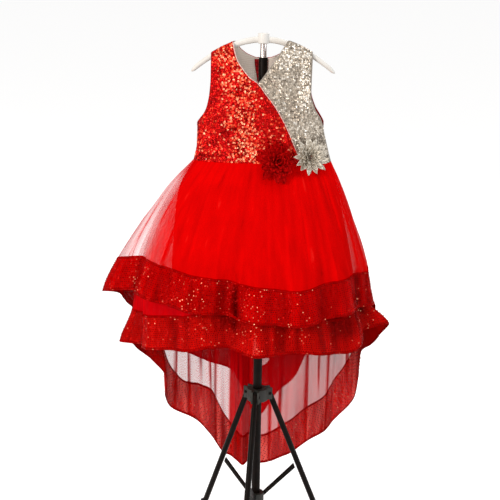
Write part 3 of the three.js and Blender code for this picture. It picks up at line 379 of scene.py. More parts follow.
def linear(colour):
    """A colour from sRGB hex to linear light, with full alpha."""
    channels = [int(colour[i : i + 2], 16) / 255 for i in (0, 2, 4)]
    return [c / 12.92 if c <= 0.04045 else ((c + 0.055) / 1.055) ** 2.4 for c in channels] + [1]


def feed(material, socket, value):
    if isinstance(value, bpy.types.NodeSocket):
        material.node_tree.links.new(value, socket)
    else:
        socket.default_value = value


def finish(material, **sockets):
    """Feeds a material's own surface sockets, named with underscores for spaces."""
    surface = material.node_tree.nodes["Principled BSDF"]
    for socket, value in sockets.items():
        feed(material, surface.inputs[socket.replace("_", " ")], value)


def new_material(name, **sockets):
    material = bpy.data.materials.new(name)
    material.use_nodes = True
    finish(material, **sockets)
    return material


def add_node(material, kind, output, inputs=(), stops=(), **settings):
    """Adds a node and gives one of its outputs. Inputs are values or the sockets that feed them,
    and stops are the places and colours of a ramp."""
    node = material.node_tree.nodes.new("ShaderNode" + kind)
    for name, value in settings.items():
        setattr(node, name, value)
    for name, value in dict(inputs).items():
        feed(material, node.inputs[name], value)
    while stops and len(node.color_ramp.elements) < len(stops):
        node.color_ramp.elements.new(0.5)
    for k, (place, colour) in enumerate(stops):
        node.color_ramp.elements[k].position = place
        node.color_ramp.elements[k].color = linear(colour)
    return node.outputs[output]


def blotches(material, scale_mm, detail, stretch=(1, 1, 1), socket="Object"):
    """A soft noise from 0 to 1, with blotches scale_mm across, stretched along an axis."""
    place = add_node(material, "TexCoord", socket)
    turned = add_node(material, "Mapping", "Vector", {"Vector": place, "Scale": stretch})
    return add_node(
        material, "TexNoise", "Fac", {"Vector": turned, "Scale": 1000 / scale_mm, "Detail": detail}
    )


def threads(material, spacing_mm, slub, way):
    """Ridges from 0 to 1, spacing_mm apart over the cloth laid flat."""
    place = add_node(material, "TexCoord", "UV")
    inputs = {"Vector": place, "Scale": WAVE_TURNS / spacing_mm, "Distortion": slub}
    return add_node(material, "TexWave", "Fac", inputs, bands_direction=way)


def coloured(material, share, *stops, height=None, depth_mm=0, strength=0):
    """Colours a surface by a share from 0 to 1 and, where a height is given, gives it relief."""
    finish(material, Base_Color=add_node(material, "ValToRGB", "Color", {"Fac": share}, stops))
    if height is not None:
        inputs = {"Height": height, "Distance": depth_mm * MM, "Strength": strength}
        finish(material, Normal=add_node(material, "Bump", "Normal", inputs))
    return material


def sequin_film(name, metallic, roughness, coat, *stops):
    """Metallised polyester film, punched into cups: near-mirror discs, each with its own tone."""
    material = new_material(name, Metallic=metallic, Roughness=roughness, Specular_IOR_Level=coat)
    finish(material, Coat_Weight=coat, Coat_Roughness=0.15)
    return coloured(material, add_node(material, "Attribute", "Fac", attribute_name="tone"), *stops)


def knitted_ground(name, colour, shadow):
    """Warp-knit polyester under the sequins: matt, with a fine rib 1.5 mm apart."""
    material = new_material(name, Roughness=0.85, Specular_IOR_Level=0.15)
    rib = threads(material, 1.5, 1.0, "X")
    return coloured(material, rib, (0, shadow), (1, colour), height=rib, depth_mm=0.4, strength=0.3)


def gathered_net(name, pale, colour, deep, mesh_mm, clear, dense, gloss=0.02):
    """Polyester tulle: a matt net. Its "cover" attribute is the share of light that its threads
    and gathers stop; its other attribute is painted shade, which deepens its colour, less painted
    light, which makes it paler where the net is thin. The real mesh is about 1 mm, and is drawn
    coarser, so that it shows."""
    material = new_material(name, Roughness=0.85, Specular_IOR_Level=gloss)
    inputs = {"Vector": add_node(material, "TexCoord", "UV"), "Scale": 1000 / mesh_mm, "Randomness": 0.45}
    cells = add_node(material, "TexVoronoi", "Distance", inputs, feature="DISTANCE_TO_EDGE")
    inputs = {"Value": cells, "From Max": 0.3, "To Min": 0.08, "To Max": -0.06}
    mesh = add_node(material, "MapRange", "Result", inputs)
    cover = add_node(material, "Attribute", "Fac", attribute_name="cover")
    base = add_node(material, "MapRange", "Result", {"Value": cover, "To Min": clear, "To Max": dense})
    alpha = add_node(material, "Math", "Value", {0: base, 1: mesh}, operation="ADD", use_clamp=True)
    finish(material, Alpha=alpha)
    # Painted shade and light: streaks of painted shade, plus the painted shade and light marked on the sheet,
    # pick the net's colour from pale to darkest.
    shade_streaks = blotches(material, 60, 3, (3, 0.5, 1), "UV")
    painted_light_and_shade = add_node(material, "Attribute", "Fac", attribute_name="painted_light_and_shade")
    depth = add_node(material, "Math", "Value", {0: shade_streaks, 1: painted_light_and_shade}, operation="ADD")
    return coloured(material, depth, (0.05, pale), (0.35, colour), (0.7, deep), (1, "4a0000"))


def satin(name, colour, deep, gloss=0.03):
    """Polyester satin: a smooth float weave, with soft streaks of painted shade down it, a little deeper in
    colour.
    """
    material = new_material(name, Roughness=0.6, Specular_IOR_Level=gloss)
    shade_streaks = blotches(material, 70, 3, (3, 0.5, 1), "UV")
    weave = threads(material, 0.6, 0.5, "DIAGONAL")
    return coloured(material, shade_streaks, (0.35, colour), (0.7, deep), height=weave, depth_mm=0.2, strength=0.15)


def plain_weave(name, colour, deep, thread_mm):
    """Plain-woven polyester: matt, with its threads and slubs just showing."""
    material = new_material(name, Roughness=0.8, Specular_IOR_Level=0.2)
    warp, weft = (threads(material, thread_mm, 0.6, way) for way in "XY")
    weave = add_node(material, "Math", "Value", {0: warp, 1: weft}, operation="MULTIPLY")
    return coloured(material, weave, (0, deep), (0.6, colour), height=weave, depth_mm=0.4, strength=0.25)


def coated_tube(name, colour, worn, metallic, roughness, coat):
    """Powder-coated or plated steel tube: faint orange peel, rubbed lighter in places."""
    material = new_material(name, Metallic=metallic, Roughness=roughness, Specular_IOR_Level=0.07)
    finish(material, Coat_Weight=coat)
    rubbed, peel = blotches(material, 16, 4), blotches(material, 1.1, 1)
    return coloured(material, rubbed, (0.45, colour), (0.85, worn), height=peel, depth_mm=0.3, strength=0.12)


def moulded(name, colour, worn, roughness, grain_mm):
    """Injection-moulded plastic or rubber: a fine spark-eroded grain and slight blotches."""
    material = new_material(name, Roughness=roughness, Specular_IOR_Level=0.45)
    faded, grain = blotches(material, 22, 3), blotches(material, grain_mm, 2)
    return coloured(material, faded, (0.4, colour), (0.8, worn), height=grain, depth_mm=0.3, strength=0.15)


def crushed_cloth(name, metallic, roughness, wrinkle_mm, *stops):
    """A thin petal cloth, crushed into fine wrinkles that raise it; its colour is painted lighter on
    their crests and darker in their hollows, as painted highlight and painted shade.
    """
    material = new_material(name, Metallic=metallic, Roughness=roughness, Specular_IOR_Level=0.04)
    wrinkles = blotches(material, wrinkle_mm, 3, (1, 1, 1.6))
    return coloured(material, wrinkles, *stops, height=wrinkles, depth_mm=1.2, strength=0.5)


# Metallised film: deep red cups. Its peach tones are painted highlights, given mostly to the cups
# in the red front's glint band.
RED_STOPS = (0, "8e0000"), (0.45, "b80202"), (0.7, "c80c05"), (0.86, "e25030"), (1, "ffaa84")
RED_FILM = sequin_film("red metallised sequin film", 0.5, 0.3, 0.05, *RED_STOPS)
# Metallised film over pale champagne: bright, with darker tones drawn at random; its lightest tone
# is a painted highlight, given mostly on the shoulder and beside the armhole.
SILVER_STOPS = (0, "7c7164"), (0.4, "a99d8d"), (0.75, "cdc1b1"), (1, "fffaf0")
SILVER_FILM = sequin_film("champagne metallised sequin film", 0.6, 0.3, 0.2, *SILVER_STOPS)
# Small cups of the same film on the hem nets: mostly dark, with a few sparks, which are painted highlights.
BAND_STOPS = (0, "6a0000"), (0.55, "a80202"), (0.88, "c81008"), (1, "ff9a78")
BAND_FILM = sequin_film("small dark red sequin film", 0.5, 0.25, 0.06, *BAND_STOPS)
# Warp knit: matt cloth that shows only as lines between the sequins.
RED_KNIT = knitted_ground("red warp-knit polyester", "b80000", "780000")
SILVER_KNIT = knitted_ground("grey warp-knit polyester", "a79d92", "7b736a")
# Pongee: the thin beige lining, seen down the neck.
BEIGE_LINING = plain_weave("beige polyester pongee", "fff8f0", "f1e6da", 0.8)
# Satin: smooth opaque lining that gives the skirt its solid red, with streaks of painted shade.
RED_SATIN = satin("bright red polyester satin", "dc0000", "c40000")
# Tulle: matt see-through net, pink over white and solid red where it doubles; its palest colour
# is painted light where it is thin, and its deeper reds are painted shade.
TIER1_NET = gathered_net("red tulle of the upper tier", "ff2c24", "dc0000", "c80000", 2.6, 0.17, 1.0)
TIER2_NET = gathered_net("red tulle of the lower tier", "f42830", "d80008", "bc000a", 2.6, 0.16, 1.0)
# Hem nets: closer, darker net, nearly solid, that carries the small sequins; lighter where it is
# thin and deeper in places, as painted light and painted shade.
HEM_NET = (3.2, 0.96, 1.06, 0)
TIER1_BAND_NET = gathered_net("dark red net of the upper hem", "f02018", "c80000", "980000", *HEM_NET)
TIER2_BAND_NET = gathered_net("dark red net of the lower hem", "ff6258", "cc0804", "9e0402", *HEM_NET)
# Woven tape and cut edge: matt, with coarser threads than the lining's.
TAPE_WEAVE = plain_weave("red woven zip tape", "b01018", "7c060c", 1.2)
PALE_EDGE = plain_weave("pale pink cut edge of the facing", "f4c9bf", "dca398", 1.2)
# Satin binding, folded over the net's edges: it shows as a fine dark line.
BINDING = satin("dark red satin binding", "a80000", "7c0000", 0)
# Chiffon petals: dull, dark, with frayed edges; painted lighter on the crests of their wrinkles
# and darker in their hollows, as painted highlight and painted shade.
CHIFFON_STOPS = (0.3, "920000"), (0.55, "b80204"), (0.8, "d42018")
RED_CHIFFON = crushed_cloth("dark red crushed chiffon", 0, 0.9, 5, *CHIFFON_STOPS)
# Lame petals: foil-threaded cloth, painted bright on the crests of its wrinkles, a painted
# highlight, and darker in their hollows, painted shade.
LAME_STOPS = (0.25, "9c9486"), (0.5, "cbc2b3"), (0.75, "f6f0e4")
SILVER_LAME = crushed_cloth("champagne lame cloth", 0.5, 0.42, 6, *LAME_STOPS)
# Tube: plated where it slides, powder-coated below, and enamel on the zip's metal.
STEEL_TUBE = coated_tube("bright steel tube", "b4aaa6", "d6cec8", 0.9, 0.25, 0.3)
BLACK_TUBE = coated_tube("black powder-coated steel", "0b0604", "1e130d", 0, 0.42, 0)
RED_ENAMEL = coated_tube("red enamelled zinc", "a8141c", "c04040", 0.3, 0.3, 0.3)
# Mouldings: dull glass-filled nylon, glossy white styrene and matt rubber.
DARK_NYLON = moulded("dark olive glass-filled nylon", "16160f", "2a2a22", 0.6, 0.8)
WHITE_STYRENE = moulded("white polystyrene", "e4e1dc", "d8d4cc", 0.4, 1.0)
BLACK_RUBBER = moulded("black rubber", "151515", "262626", 0.85, 0.6)


# ---- making pieces ---------------------------------------------------------------------------
def in_frame(points):
    """Gown points in millimetres round the pole, as metres in the part's frame."""
    return points * MM + np.array(POLE)


def cloth(name, columns, rows, shape, size, materials):
    """A sheet of cloth: a flat grid whose points shape(across, down) places. size is its flat
    width and length in metres, which its UV map keeps, so a weave on it has its real scale."""
    bpy.ops.mesh.primitive_grid_add(x_subdivisions=columns, y_subdivisions=rows, size=1)
    piece = bpy.context.object
    piece.name = piece.data.name = name
    mesh = piece.data
    flat = np.zeros(len(mesh.vertices) * 3)
    mesh.vertices.foreach_get("co", flat)
    across, down = flat[0::3] + 0.5, 0.5 - flat[1::3]
    mesh.vertices.foreach_set("co", in_frame(shape(across, down)).ravel())
    corners = np.zeros(len(mesh.loops), int)
    mesh.loops.foreach_get("vertex_index", corners)
    places = np.stack([across[corners] * size[0], down[corners] * size[1]], axis=-1)
    mesh.uv_layers.active.data.foreach_set("uv", places.ravel())
    for material in materials:
        mesh.materials.append(material)
    bpy.ops.object.shade_smooth()
    mesh.update()
    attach(piece, "gown")
    piece.select_set(False)
    return piece


def apply_modifier(piece, kind, **settings):
    bpy.context.view_layer.objects.active = piece
    modifier = piece.modifiers.new(kind.title(), kind)
    for name, value in settings.items():
        setattr(modifier, name, value)
    bpy.ops.object.modifier_apply(modifier=modifier.name)


def merge_doubles(piece, flats=False):
    """Merges points that coincide and, where asked, the flat faces between them."""
    bpy.context.view_layer.objects.active = piece
    piece.select_set(True)
    bpy.ops.object.mode_set(mode="EDIT")
    bpy.ops.mesh.select_all(action="SELECT")
    bpy.ops.mesh.remove_doubles(threshold=1e-6)
    if flats:
        bpy.ops.mesh.dissolve_limited(angle_limit=1 * DEGREE)
    bpy.ops.object.mode_set(mode="OBJECT")
    piece.select_set(False)


def smooth_up_to(piece, degrees):
    bpy.context.view_layer.objects.active = piece
    piece.select_set(True)
    bpy.ops.object.shade_smooth_by_angle(angle=degrees * DEGREE)
    piece.select_set(False)


def round_corners(piece, width_mm, segments):
    corner = {"limit_method": "ANGLE", "angle_limit": 40 * DEGREE}
    apply_modifier(piece, "BEVEL", width=width_mm * MM, segments=segments, **corner)
    smooth_up_to(piece, 35)


def point_attribute(piece, name, values):
    layer = piece.data.attributes.new(name, "FLOAT", "POINT")
    layer.data.foreach_set("value", np.asarray(values, np.float32))


def grid_normals(surface, first, second, steps):
    """Unit normals and tangents of surface(first, second) from small steps either way."""
    along = unit(surface(first + steps[0], second) - surface(first - steps[0], second))
    down = unit(surface(first, second + steps[1]) - surface(first, second - steps[1]))
    return unit(np.cross(down, along)), along


def taken_apart():
    """The points and faces of the primitive that was just added, which is then removed."""
    piece = bpy.context.object
    points = np.array([v.co for v in piece.data.vertices])
    faces = np.array([list(p.vertices) for p in piece.data.polygons])
    bpy.data.objects.remove(piece)
    return points, faces


def many_copies(name, places, faces, material):
    """One mesh of many copies of a shape, from the places of each copy's points."""
    count, size = places.shape[:2]
    corners = faces[None] + (np.arange(count) * size)[:, None, None]
    mesh = bpy.data.meshes.new(name)
    mesh.from_pydata(in_frame(places.reshape(-1, 3)), [], corners.reshape(-1, faces.shape[1]).tolist())
    mesh.materials.append(material)
    piece = bpy.data.objects.new(name, mesh)
    bpy.context.collection.objects.link(piece)
    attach(piece, "gown")
    return piece


# ---- sequins ---------------------------------------------------------------------------------
def cup(sides, depth):
    """One cupped disc, a unit across."""
    bpy.ops.mesh.primitive_circle_add(vertices=sides, radius=0.5, fill_type="TRIFAN")
    points, faces = taken_apart()
    points[:, 2] = depth * (np.hypot(points[:, 0], points[:, 1]) / 0.5) ** 2
    return points, faces


PAILLETTE = {"cup": cup(8, 0.1), "size": 4.2, "pitch": 3.6, "row": 3.1, "tilt": 0.2, "jitter": 0.5}
SMALL_SEQUIN = {"cup": cup(6, 0.12), "size": 2.5, "pitch": 4.6, "row": 4.0, "tilt": 0.24, "jitter": 0.7}
CLUSTER_MM = 22.0  # neighbours about this far apart lie and shine alike


def sew_on(name, sequin, places, normals, along, film, glint_share):
    """Sequins of one kind, each turned and tilted a little on its cloth. Their tones are drawn at
    random and shifted alike over clusters of neighbours; where the glint share is full, about half
    of them get the lightest tone, a painted highlight."""
    count = len(places)
    cluster = np.array([noise.noise_vector(Vector(p) / CLUSTER_MM) for p in places])
    wobble = rng.normal(0, 1, (count, 3)) * sequin["tilt"] + cluster * sequin["tilt"] * 1.6
    up = unit(normals + wobble)
    spin = rng.uniform(0, 2 * math.pi, count)[:, None]
    side = unit(along - up * np.sum(along * up, axis=1, keepdims=True))
    right = side * np.cos(spin) + np.cross(up, side) * np.sin(spin)
    axes = np.stack([right, np.cross(up, right), up], axis=1)
    points, faces = sequin["cup"]
    piece = many_copies(name, places[:, None] + points * sequin["size"] @ axes, faces, film)
    tone = np.clip(rng.beta(1.6, 2.4, count) + 0.22 * cluster[:, 0], 0, 1)
    # Painted highlight: the lightest tone goes to a share of the sequins, whichever way they face.
    lightest = rng.uniform(0, 1, count) < 0.55 * glint_share
    tone = np.where(lightest, rng.uniform(0.78, 1, count), tone)
    point_attribute(piece, "tone", np.repeat(tone, len(points)))
    return piece


def rows_of_places(sequin, surface, rows, ends):
    """Staggered places along rows of surface(first, row): ends(row) gives each row's reach."""
    firsts, seconds = [], []
    for k, row in enumerate(rows):
        start, end = ends(row)
        if end <= start:
            continue
        samples = np.linspace(start, end, 900)
        line = surface(samples, np.full(900, row))
        run = np.concatenate([[0], np.cumsum(np.linalg.norm(np.diff(line, axis=0), axis=1))])
        pitch = sequin["pitch"]
        at = np.arange((0.25 if k % 2 else 0.75) * pitch, run[-1] - 0.2 * pitch, pitch)
        at = at + rng.uniform(-sequin["jitter"], sequin["jitter"], len(at))
        firsts.append(np.interp(at, run, samples))
        seconds.append(np.full(len(at), row))
    return np.concatenate(firsts), np.concatenate(seconds)


# ---- bodice pieces ---------------------------------------------------------------------------
SHELL = {"depth": 0.7, "wall": 0.6}
SEQUIN_DEPTH = 0.4
ROLL_DEPTH = 0.9
LINING_DEPTH = 2.0
TAPE_DEPTH = 3.8
BRUSHED_UP = (-0.36, -0.92, 0.13)  # which way the brushed sequins face


def red_glint_band(x, drop):
    """A band down the red front, from the shoulder to the middle of the waist, where the sequins lie
    turned to the light and many carry a painted highlight; a few more near the waist.
    """
    middle = np.interp(drop, (0, 110, 215), (-76, -40, -26))
    half = np.interp(drop, (0, 110, 215), (20, 32, 30))
    return 0.8 * np.exp(-(((x - middle) / half) ** 4)) + 0.12 * smooth(120, 200, drop)


def silver_glint_patches(x, drop):
    """The shoulder, and a narrow stripe beside the silver front's armhole: the sequins there lie turned
    to the light, and many carry a painted highlight.
    """
    stripe = 0.8 * np.exp(-(((x - 80) / 12) ** 4)) * (1 - smooth(110, 150, drop))
    return np.maximum(stripe, 0.5 * (1 - smooth(15, 70, drop)))


# A slight turn to the light everywhere, and a painted highlight on a few sequins.
def sparse_glints(x, drop):
    return np.full(np.shape(x), 0.05)


def lies_flush(x, drop):
    return np.zeros(np.shape(x))


def lies_low(x, drop):
    """The silver front stays low beside the red edge and comes up flush away from it."""
    start = red_edge(drop) + WRAP_FLAT
    return (BODICE_WALL + SEAM_GAP + WRAP_SLACK) * (1 - smooth(start, start + WRAP_EASE, x))


def sunk_point(panel, turn, drop, depth):
    """A point of a bodice panel, moved in along its normal, in millimetres."""
    def plain(t, d):
        return body_point(t, d, panel["face"])

    point = plain(turn, drop)
    normal, _ = grid_normals(plain, turn, drop, (0.01, 0.5))
    depth = depth + panel["lower"](point[..., 0], drop)
    return point + panel["face"] * normal * depth[..., None]


def panel_cloth(name, panel, depth, size, materials, start=0):
    """A panel between its two edges, each a curve of x against drop, from the shoulder (or from a
    share of the way down) to the waist, as a thin shell on its solid's outer face."""
    def surface(across, down):
        share = start + (1 - start) * down**2.2
        u = across if panel["face"] < 0 else 1 - across
        drops = [mix(-shoulder_line(x), WAIST_DROP - SEAM_GAP / 2, share) for x in panel["shoulder"]]
        turns = [
            turn_at(np.where(share == 0, x, edge(drop)), drop)
            for x, edge, drop in zip(panel["shoulder"], panel["edges"], drops)
        ]
        turn, drop = mix(*turns, u), mix(*drops, u)
        x = body_half(drop, turn) * np.sin(turn)
        return sunk_point(panel, turn, np.where(share == 0, -shoulder_line(x), drop), depth)

    piece = cloth(name, 44, 70, surface, size, materials)
    inner = len(materials) - 1
    apply_modifier(piece, "SOLIDIFY", thickness=SHELL["wall"] * MM, offset=-1, material_offset=inner)
    return piece


def panel_sequins(name, panel, film, glint_share):
    """Rows of sequins all over a bodice panel. Where they lie turned to one side by brushing, they
    catch the light together, and many of them are also given the lightest tone, a painted highlight."""
    def surface(turn, drop):
        return sunk_point(panel, turn, drop, SEQUIN_DEPTH)

    def ends(drop):
        inner, outer = sorted(float(edge(np.array(drop))) for edge in panel["edges"])
        return tuple(float(turn_at(np.array(x), np.array(drop))) for x in (inner + 1.5, outer - 1.5))

    rows = np.arange(WAIST_DROP - 0.4, -58, -PAILLETTE["row"])
    turn, drop = rows_of_places(PAILLETTE, surface, rows, ends)
    places = surface(turn, drop)
    kept = drop > -shoulder_line(places[:, 0]) + 1.5
    turn, drop, places = turn[kept], drop[kept], places[kept]
    normal, along = grid_normals(surface, turn, drop, (0.01, 0.6))
    share = glint_share(places[:, 0], drop)
    normal = unit(mix(-panel["face"] * normal, np.array(BRUSHED_UP), share[:, None]))
    return sew_on(name, PAILLETTE, places, normal, along, film, share)


def edge_roll(panel, name, edge, shoulder_x, end, radius, material):
    """A piped or turned edge: a thin roll of cloth down a panel's edge from the shoulder."""
    start = float(-shoulder_line(shoulder_x)) + radius

    def middle(drop):
        return sunk_point(panel, turn_at(edge(drop), drop), drop, ROLL_DEPTH)

    def surface(across, down):
        drop = mix(start, end, down)
        along = unit(middle(drop + 0.4) - middle(drop - 0.4))
        level = unit(np.stack([along[..., 2], np.zeros_like(drop), -along[..., 0]], axis=-1))
        around = across[..., None] * 2 * math.pi
        return middle(drop) + radius * (level * np.cos(around) + np.cross(along, level) * np.sin(around))

    piece = cloth(name, 8, 90, surface, (2 * math.pi * radius * MM, (end - start) * MM), [material])
    merge_doubles(piece)
    return piece


def dressed_panel(name, node, slot, panel, size, flat, area, cloths, film, glint_share, *rolls):
    """A bodice panel with its sequins and the rolls along its edges."""
    piece = panel_cloth(name, panel, SHELL["depth"], size, cloths)
    trims = [panel_sequins(f"{name}_sequins", panel, film, glint_share)]
    trims += [edge_roll(panel, *roll) for roll in rolls]
    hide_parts(node)
    return piece


RED = {"face": -1, "lower": lies_flush, "edges": (red_armhole, red_edge), "shoulder": (-101, -62)}
SILVER = {"face": -1, "lower": lies_low, "edges": (silver_inner, silver_armhole), "shoulder": (51, 95)}
BACK = {"face": 1, "lower": lies_flush}

red_front = dressed_panel(
    "red_front", "front_red", "red_sequin", RED,
    (0.21, 0.24), (0.235, 0.285), 0.034, [RED_KNIT, BEIGE_LINING], RED_FILM, red_glint_band,
    ("red_neck_piping", red_edge, -62, 229, 0.9, PALE_EDGE),
    ("red_armhole_edge", red_armhole, -101, 166, 0.8, BINDING),
)
dressed_panel(
    "silver_front", "front_silver", "silver_sequin", SILVER,
    (0.17, 0.24), (0.19, 0.285), 0.028, [SILVER_KNIT, BEIGE_LINING], SILVER_FILM, silver_glint_patches,
    ("silver_neck_edge", silver_edge, 51, 84, 0.8, SILVER_KNIT),
    ("silver_armhole_edge", silver_armhole, 95, 164, 0.8, SILVER_KNIT),
)
# The outer cloth is turned in by a few millimetres round each armhole, where the lining ends.
for side, word, (outer_x, neck_x), turned_in in ((-1, "right", (-101, -57), 7), (1, "left", (95, 57), 3)):
    outer = armhole(BACK_ARMHOLES, side)

    def neck(drop, side=side):
        return side * np.maximum(SEAM_GAP / 2, back_neck(drop))

    def facing(drop, side=side, outer=outer, turned_in=turned_in):
        return outer(drop) - side * turned_in * (1 - smooth(140, 165, drop))

    # Edges run from the wearer's right to left, so the left half's are the other way round.
    half = {**BACK, "edges": (outer, neck)[::-side], "shoulder": (outer_x, neck_x)[::-side]}
    inside = (outer_x - side * turned_in, neck_x)[::-side]
    inner = {**BACK, "edges": (facing, neck)[::-side], "shoulder": inside}
    back = dressed_panel(
        f"{word}_back", f"back_{word}", "red_sequin", half,
        (0.14, 0.24), (0.145, 0.285), 0.028, [RED_KNIT], RED_FILM, sparse_glints,
        (f"{word}_back_neck_edge", neck, neck_x, 37, 0.8, BINDING),
        (f"{word}_back_armhole_edge", outer, outer_x, 162, 0.8, BINDING),
    )
    lining = panel_cloth(f"{word}_back_lining", inner, LINING_DEPTH, (0.13, 0.23), [BEIGE_LINING], 0.03)
    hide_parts(f"lining_back_{word}")


# ---- zip -------------------------------------------------------------------------------------
TAPE = {"top": 37, "bottom": 196, "right_half": 17, "left_half": 10, "low_half": 9, "tapered": 100}
TOOTH = {"size": (2.4, 0.9, 0.8), "count": 96, "first": 62, "last": 194, "offset": 0.55}


def zip_tape():
    """The zip's woven tape, inside the centre back, wider at its top on the wearer's right."""
    def surface(across, down):
        drop = mix(TAPE["top"], TAPE["bottom"], down)
        taper = smooth(TAPE["top"], TAPE["tapered"], drop)
        left, right = (mix(TAPE[half], TAPE["low_half"], taper) for half in ("left_half", "right_half"))
        return sunk_point(BACK, turn_at(mix(left, -right, across), drop), drop, TAPE_DEPTH)

    piece = cloth("zip_tape_weave", 10, 40, surface, (0.03, 0.155), [TAPE_WEAVE])
    apply_modifier(piece, "SOLIDIFY", thickness=0.6 * MM, offset=-1)
    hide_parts("zip_tape")


def zip_teeth():
    """Moulded teeth that meet in turn down the centre back, from the slider to the zip's end."""
    bpy.ops.mesh.primitive_cube_add(size=1)
    points, faces = taken_apart()
    drops = np.linspace(TOOTH["first"], TOOTH["last"], TOOTH["count"])
    centres = body_point(np.zeros_like(drops), drops, 1) + np.array([0, 0.2, 0])
    centres[:, 0] += np.where(np.arange(len(drops)) % 2, TOOTH["offset"], -TOOTH["offset"])
    places = centres[:, None] + points * np.array(TOOTH["size"])
    many_copies("zip_teeth", places, faces, RED_ENAMEL)


zip_tape()
zip_teeth()


# ---- skirt pieces ----------------------------------------------------------------------------
def even_spread(across):
    return mix(-180, 180, across)


def train_spread(across):
    """Angles across a sheet, with a fifth of its columns in the train's deep pleat."""
    first = 0.5 / 341 * 0.8
    return np.interp(across, (0, first, first + 0.2, 1), (-180, -179.5, -160.5, 180))


def cover_of(layer, angle, fraction, gathered):
    """How much net overlaps itself: where it is gathered, on the steep sides of folds, and in a
    thin line along each crease, where it is folded over."""
    drop = fraction * layer["hem"](wrap_angle(angle))
    step = 0.3
    before, after = (standing_out(layer, angle + way, fraction, drop) for way in (-step, step))
    reach = 0.5 * (layer["right"](drop) + layer["front"](drop))
    steep = np.abs(after - before) / (2 * step * DEGREE * reach)
    cover = 0.4 * smooth(0.15, 1.4, steep) + gathered(angle, fraction, drop)
    for angle_at, _, _, start, end, drift in zip(*layer["creases"].values()):
        away = wrap_angle(angle - angle_at - drift * (fraction - start)) / CREASE_LINE
        cover = cover + 0.5 * np.exp(-away * away) * plateau(start, start + 0.1, end - 0.2, end, fraction)
    return np.clip(cover, 0, 1)


def shade_of(layer, angle, fraction):
    """Painted shade: how much deeper the net's colour is made, down in the troughs of folds and under other
    layers.
    """
    drop = fraction * layer["hem"](wrap_angle(angle))
    trough = smooth(2, -9, standing_out(layer, angle, fraction, drop))
    shade = 0.16 * trough * smooth(0.5, 0.8, fraction)
    for angle_at, width, depth, start, end in zip(*layer["shadows"].values()):
        away = wrap_angle(angle - angle_at) / width
        shade = shade + depth * np.exp(-away * away) * plateau(start - 0.06, start, end, end + 0.08, fraction)
    return np.clip(shade, 0, 0.45)


def waist_gathers(angle, fraction, drop):
    return 0.5 * (1 - smooth(0, 50, drop))


def upper_gathers(angle, fraction, drop):
    """The upper net is bunched towards the front and the wearer's left, and thin at the sides."""
    angle = wrap_angle(angle)
    bunched = 0.85 * plateau(-71, -53, 74, 90, angle)
    thin_side = 0.65 * plateau(60, 84, 100, 130, angle)
    near_waist = 0.22 * plateau(-150, -120, -71, -53, angle) * (1 - smooth(60, 190, drop))
    return waist_gathers(angle, fraction, drop) + bunched + thin_side + near_waist


def train_gathers(angle, fraction, drop):
    """The train's net is fuller than the upper one, most at its left, and pleated at the back."""
    angle = wrap_angle(angle)
    front = 0.85 * (1 - smooth(85, 110, np.abs(angle))) * smooth(200, 240, drop)
    full = 0.5 * smooth(95, 130, np.abs(angle)) + 0.26 * smooth(95, 130, angle)
    pleat = np.exp(-(np.abs(wrap_angle(angle + 171.5) / 5.5) ** 4)) * smooth(0.25, 0.5, fraction)
    return waist_gathers(angle, fraction, drop) + front + full + pleat


def band_gathers(angle, fraction, drop):
    """A hem band is doubled in front, and one close net round the train."""
    return 1 - 0.75 * smooth(95, 125, np.abs(wrap_angle(angle)))


def reach_of(layer, part, angle):
    """The shares of the way down where a part of a layer starts and ends."""
    top, hem = layer["band_top"](angle), layer["hem"](wrap_angle(angle))
    return {
        "whole": (0, 1),
        "net": (0, top - 0.0008),
        "band": (top, 1),
        "seam": (top - 1.5 / hem, top + 3.5 / hem),
        "binding": (1 - 5.0 / hem, 1),
    }[part]


def skirt_sheet(name, layer, part, grid, size, material, gathered=None):
    """A part of a layer all the way round, from a grid of columns, rows and a spread of angles. A
    net is marked with its cover and depth of colour, and what has no gathers is a binding."""
    columns, rows, spread = grid
    marks = {}

    def surface(across, down):
        angle = spread(across)
        fraction = mix(*reach_of(layer, part, angle), down)
        if gathered:
            marks["cover"] = cover_of(layer, angle, fraction, gathered)
            # The net's colour carries painted shade, less painted light where the net is thin.
            painted_light_share = SHEER_PAINTED_LIGHT * (1 - smooth(0.1, 0.6, marks["cover"]))
            marks["painted_light_and_shade"] = shade_of(layer, angle, fraction) - painted_light_share
        return skirt_point(layer, angle, fraction)

    piece = cloth(name, columns, rows, surface, size, [material])
    for mark, values in marks.items():
        point_attribute(piece, mark, values)
    merge_doubles(piece)
    if not gathered:
        apply_modifier(piece, "SOLIDIFY", thickness=1.0 * MM, offset=0)
    return piece


# Painted highlights on a hem's small sequins: where the lightest tone is given, and the share that gets it.
BAND_PAINTED_GLINTS = table(
    "angle width share",
    (-150, 9, 0.3), (-124, 8, 0.35), (-60, 8, 0.2), (-26, 9, 0.35), (-3, 4, 0.4), (21, 5, 0.2),
    (74, 8, 0.2), (128, 10, 0.4), (158, 9, 0.3),
)


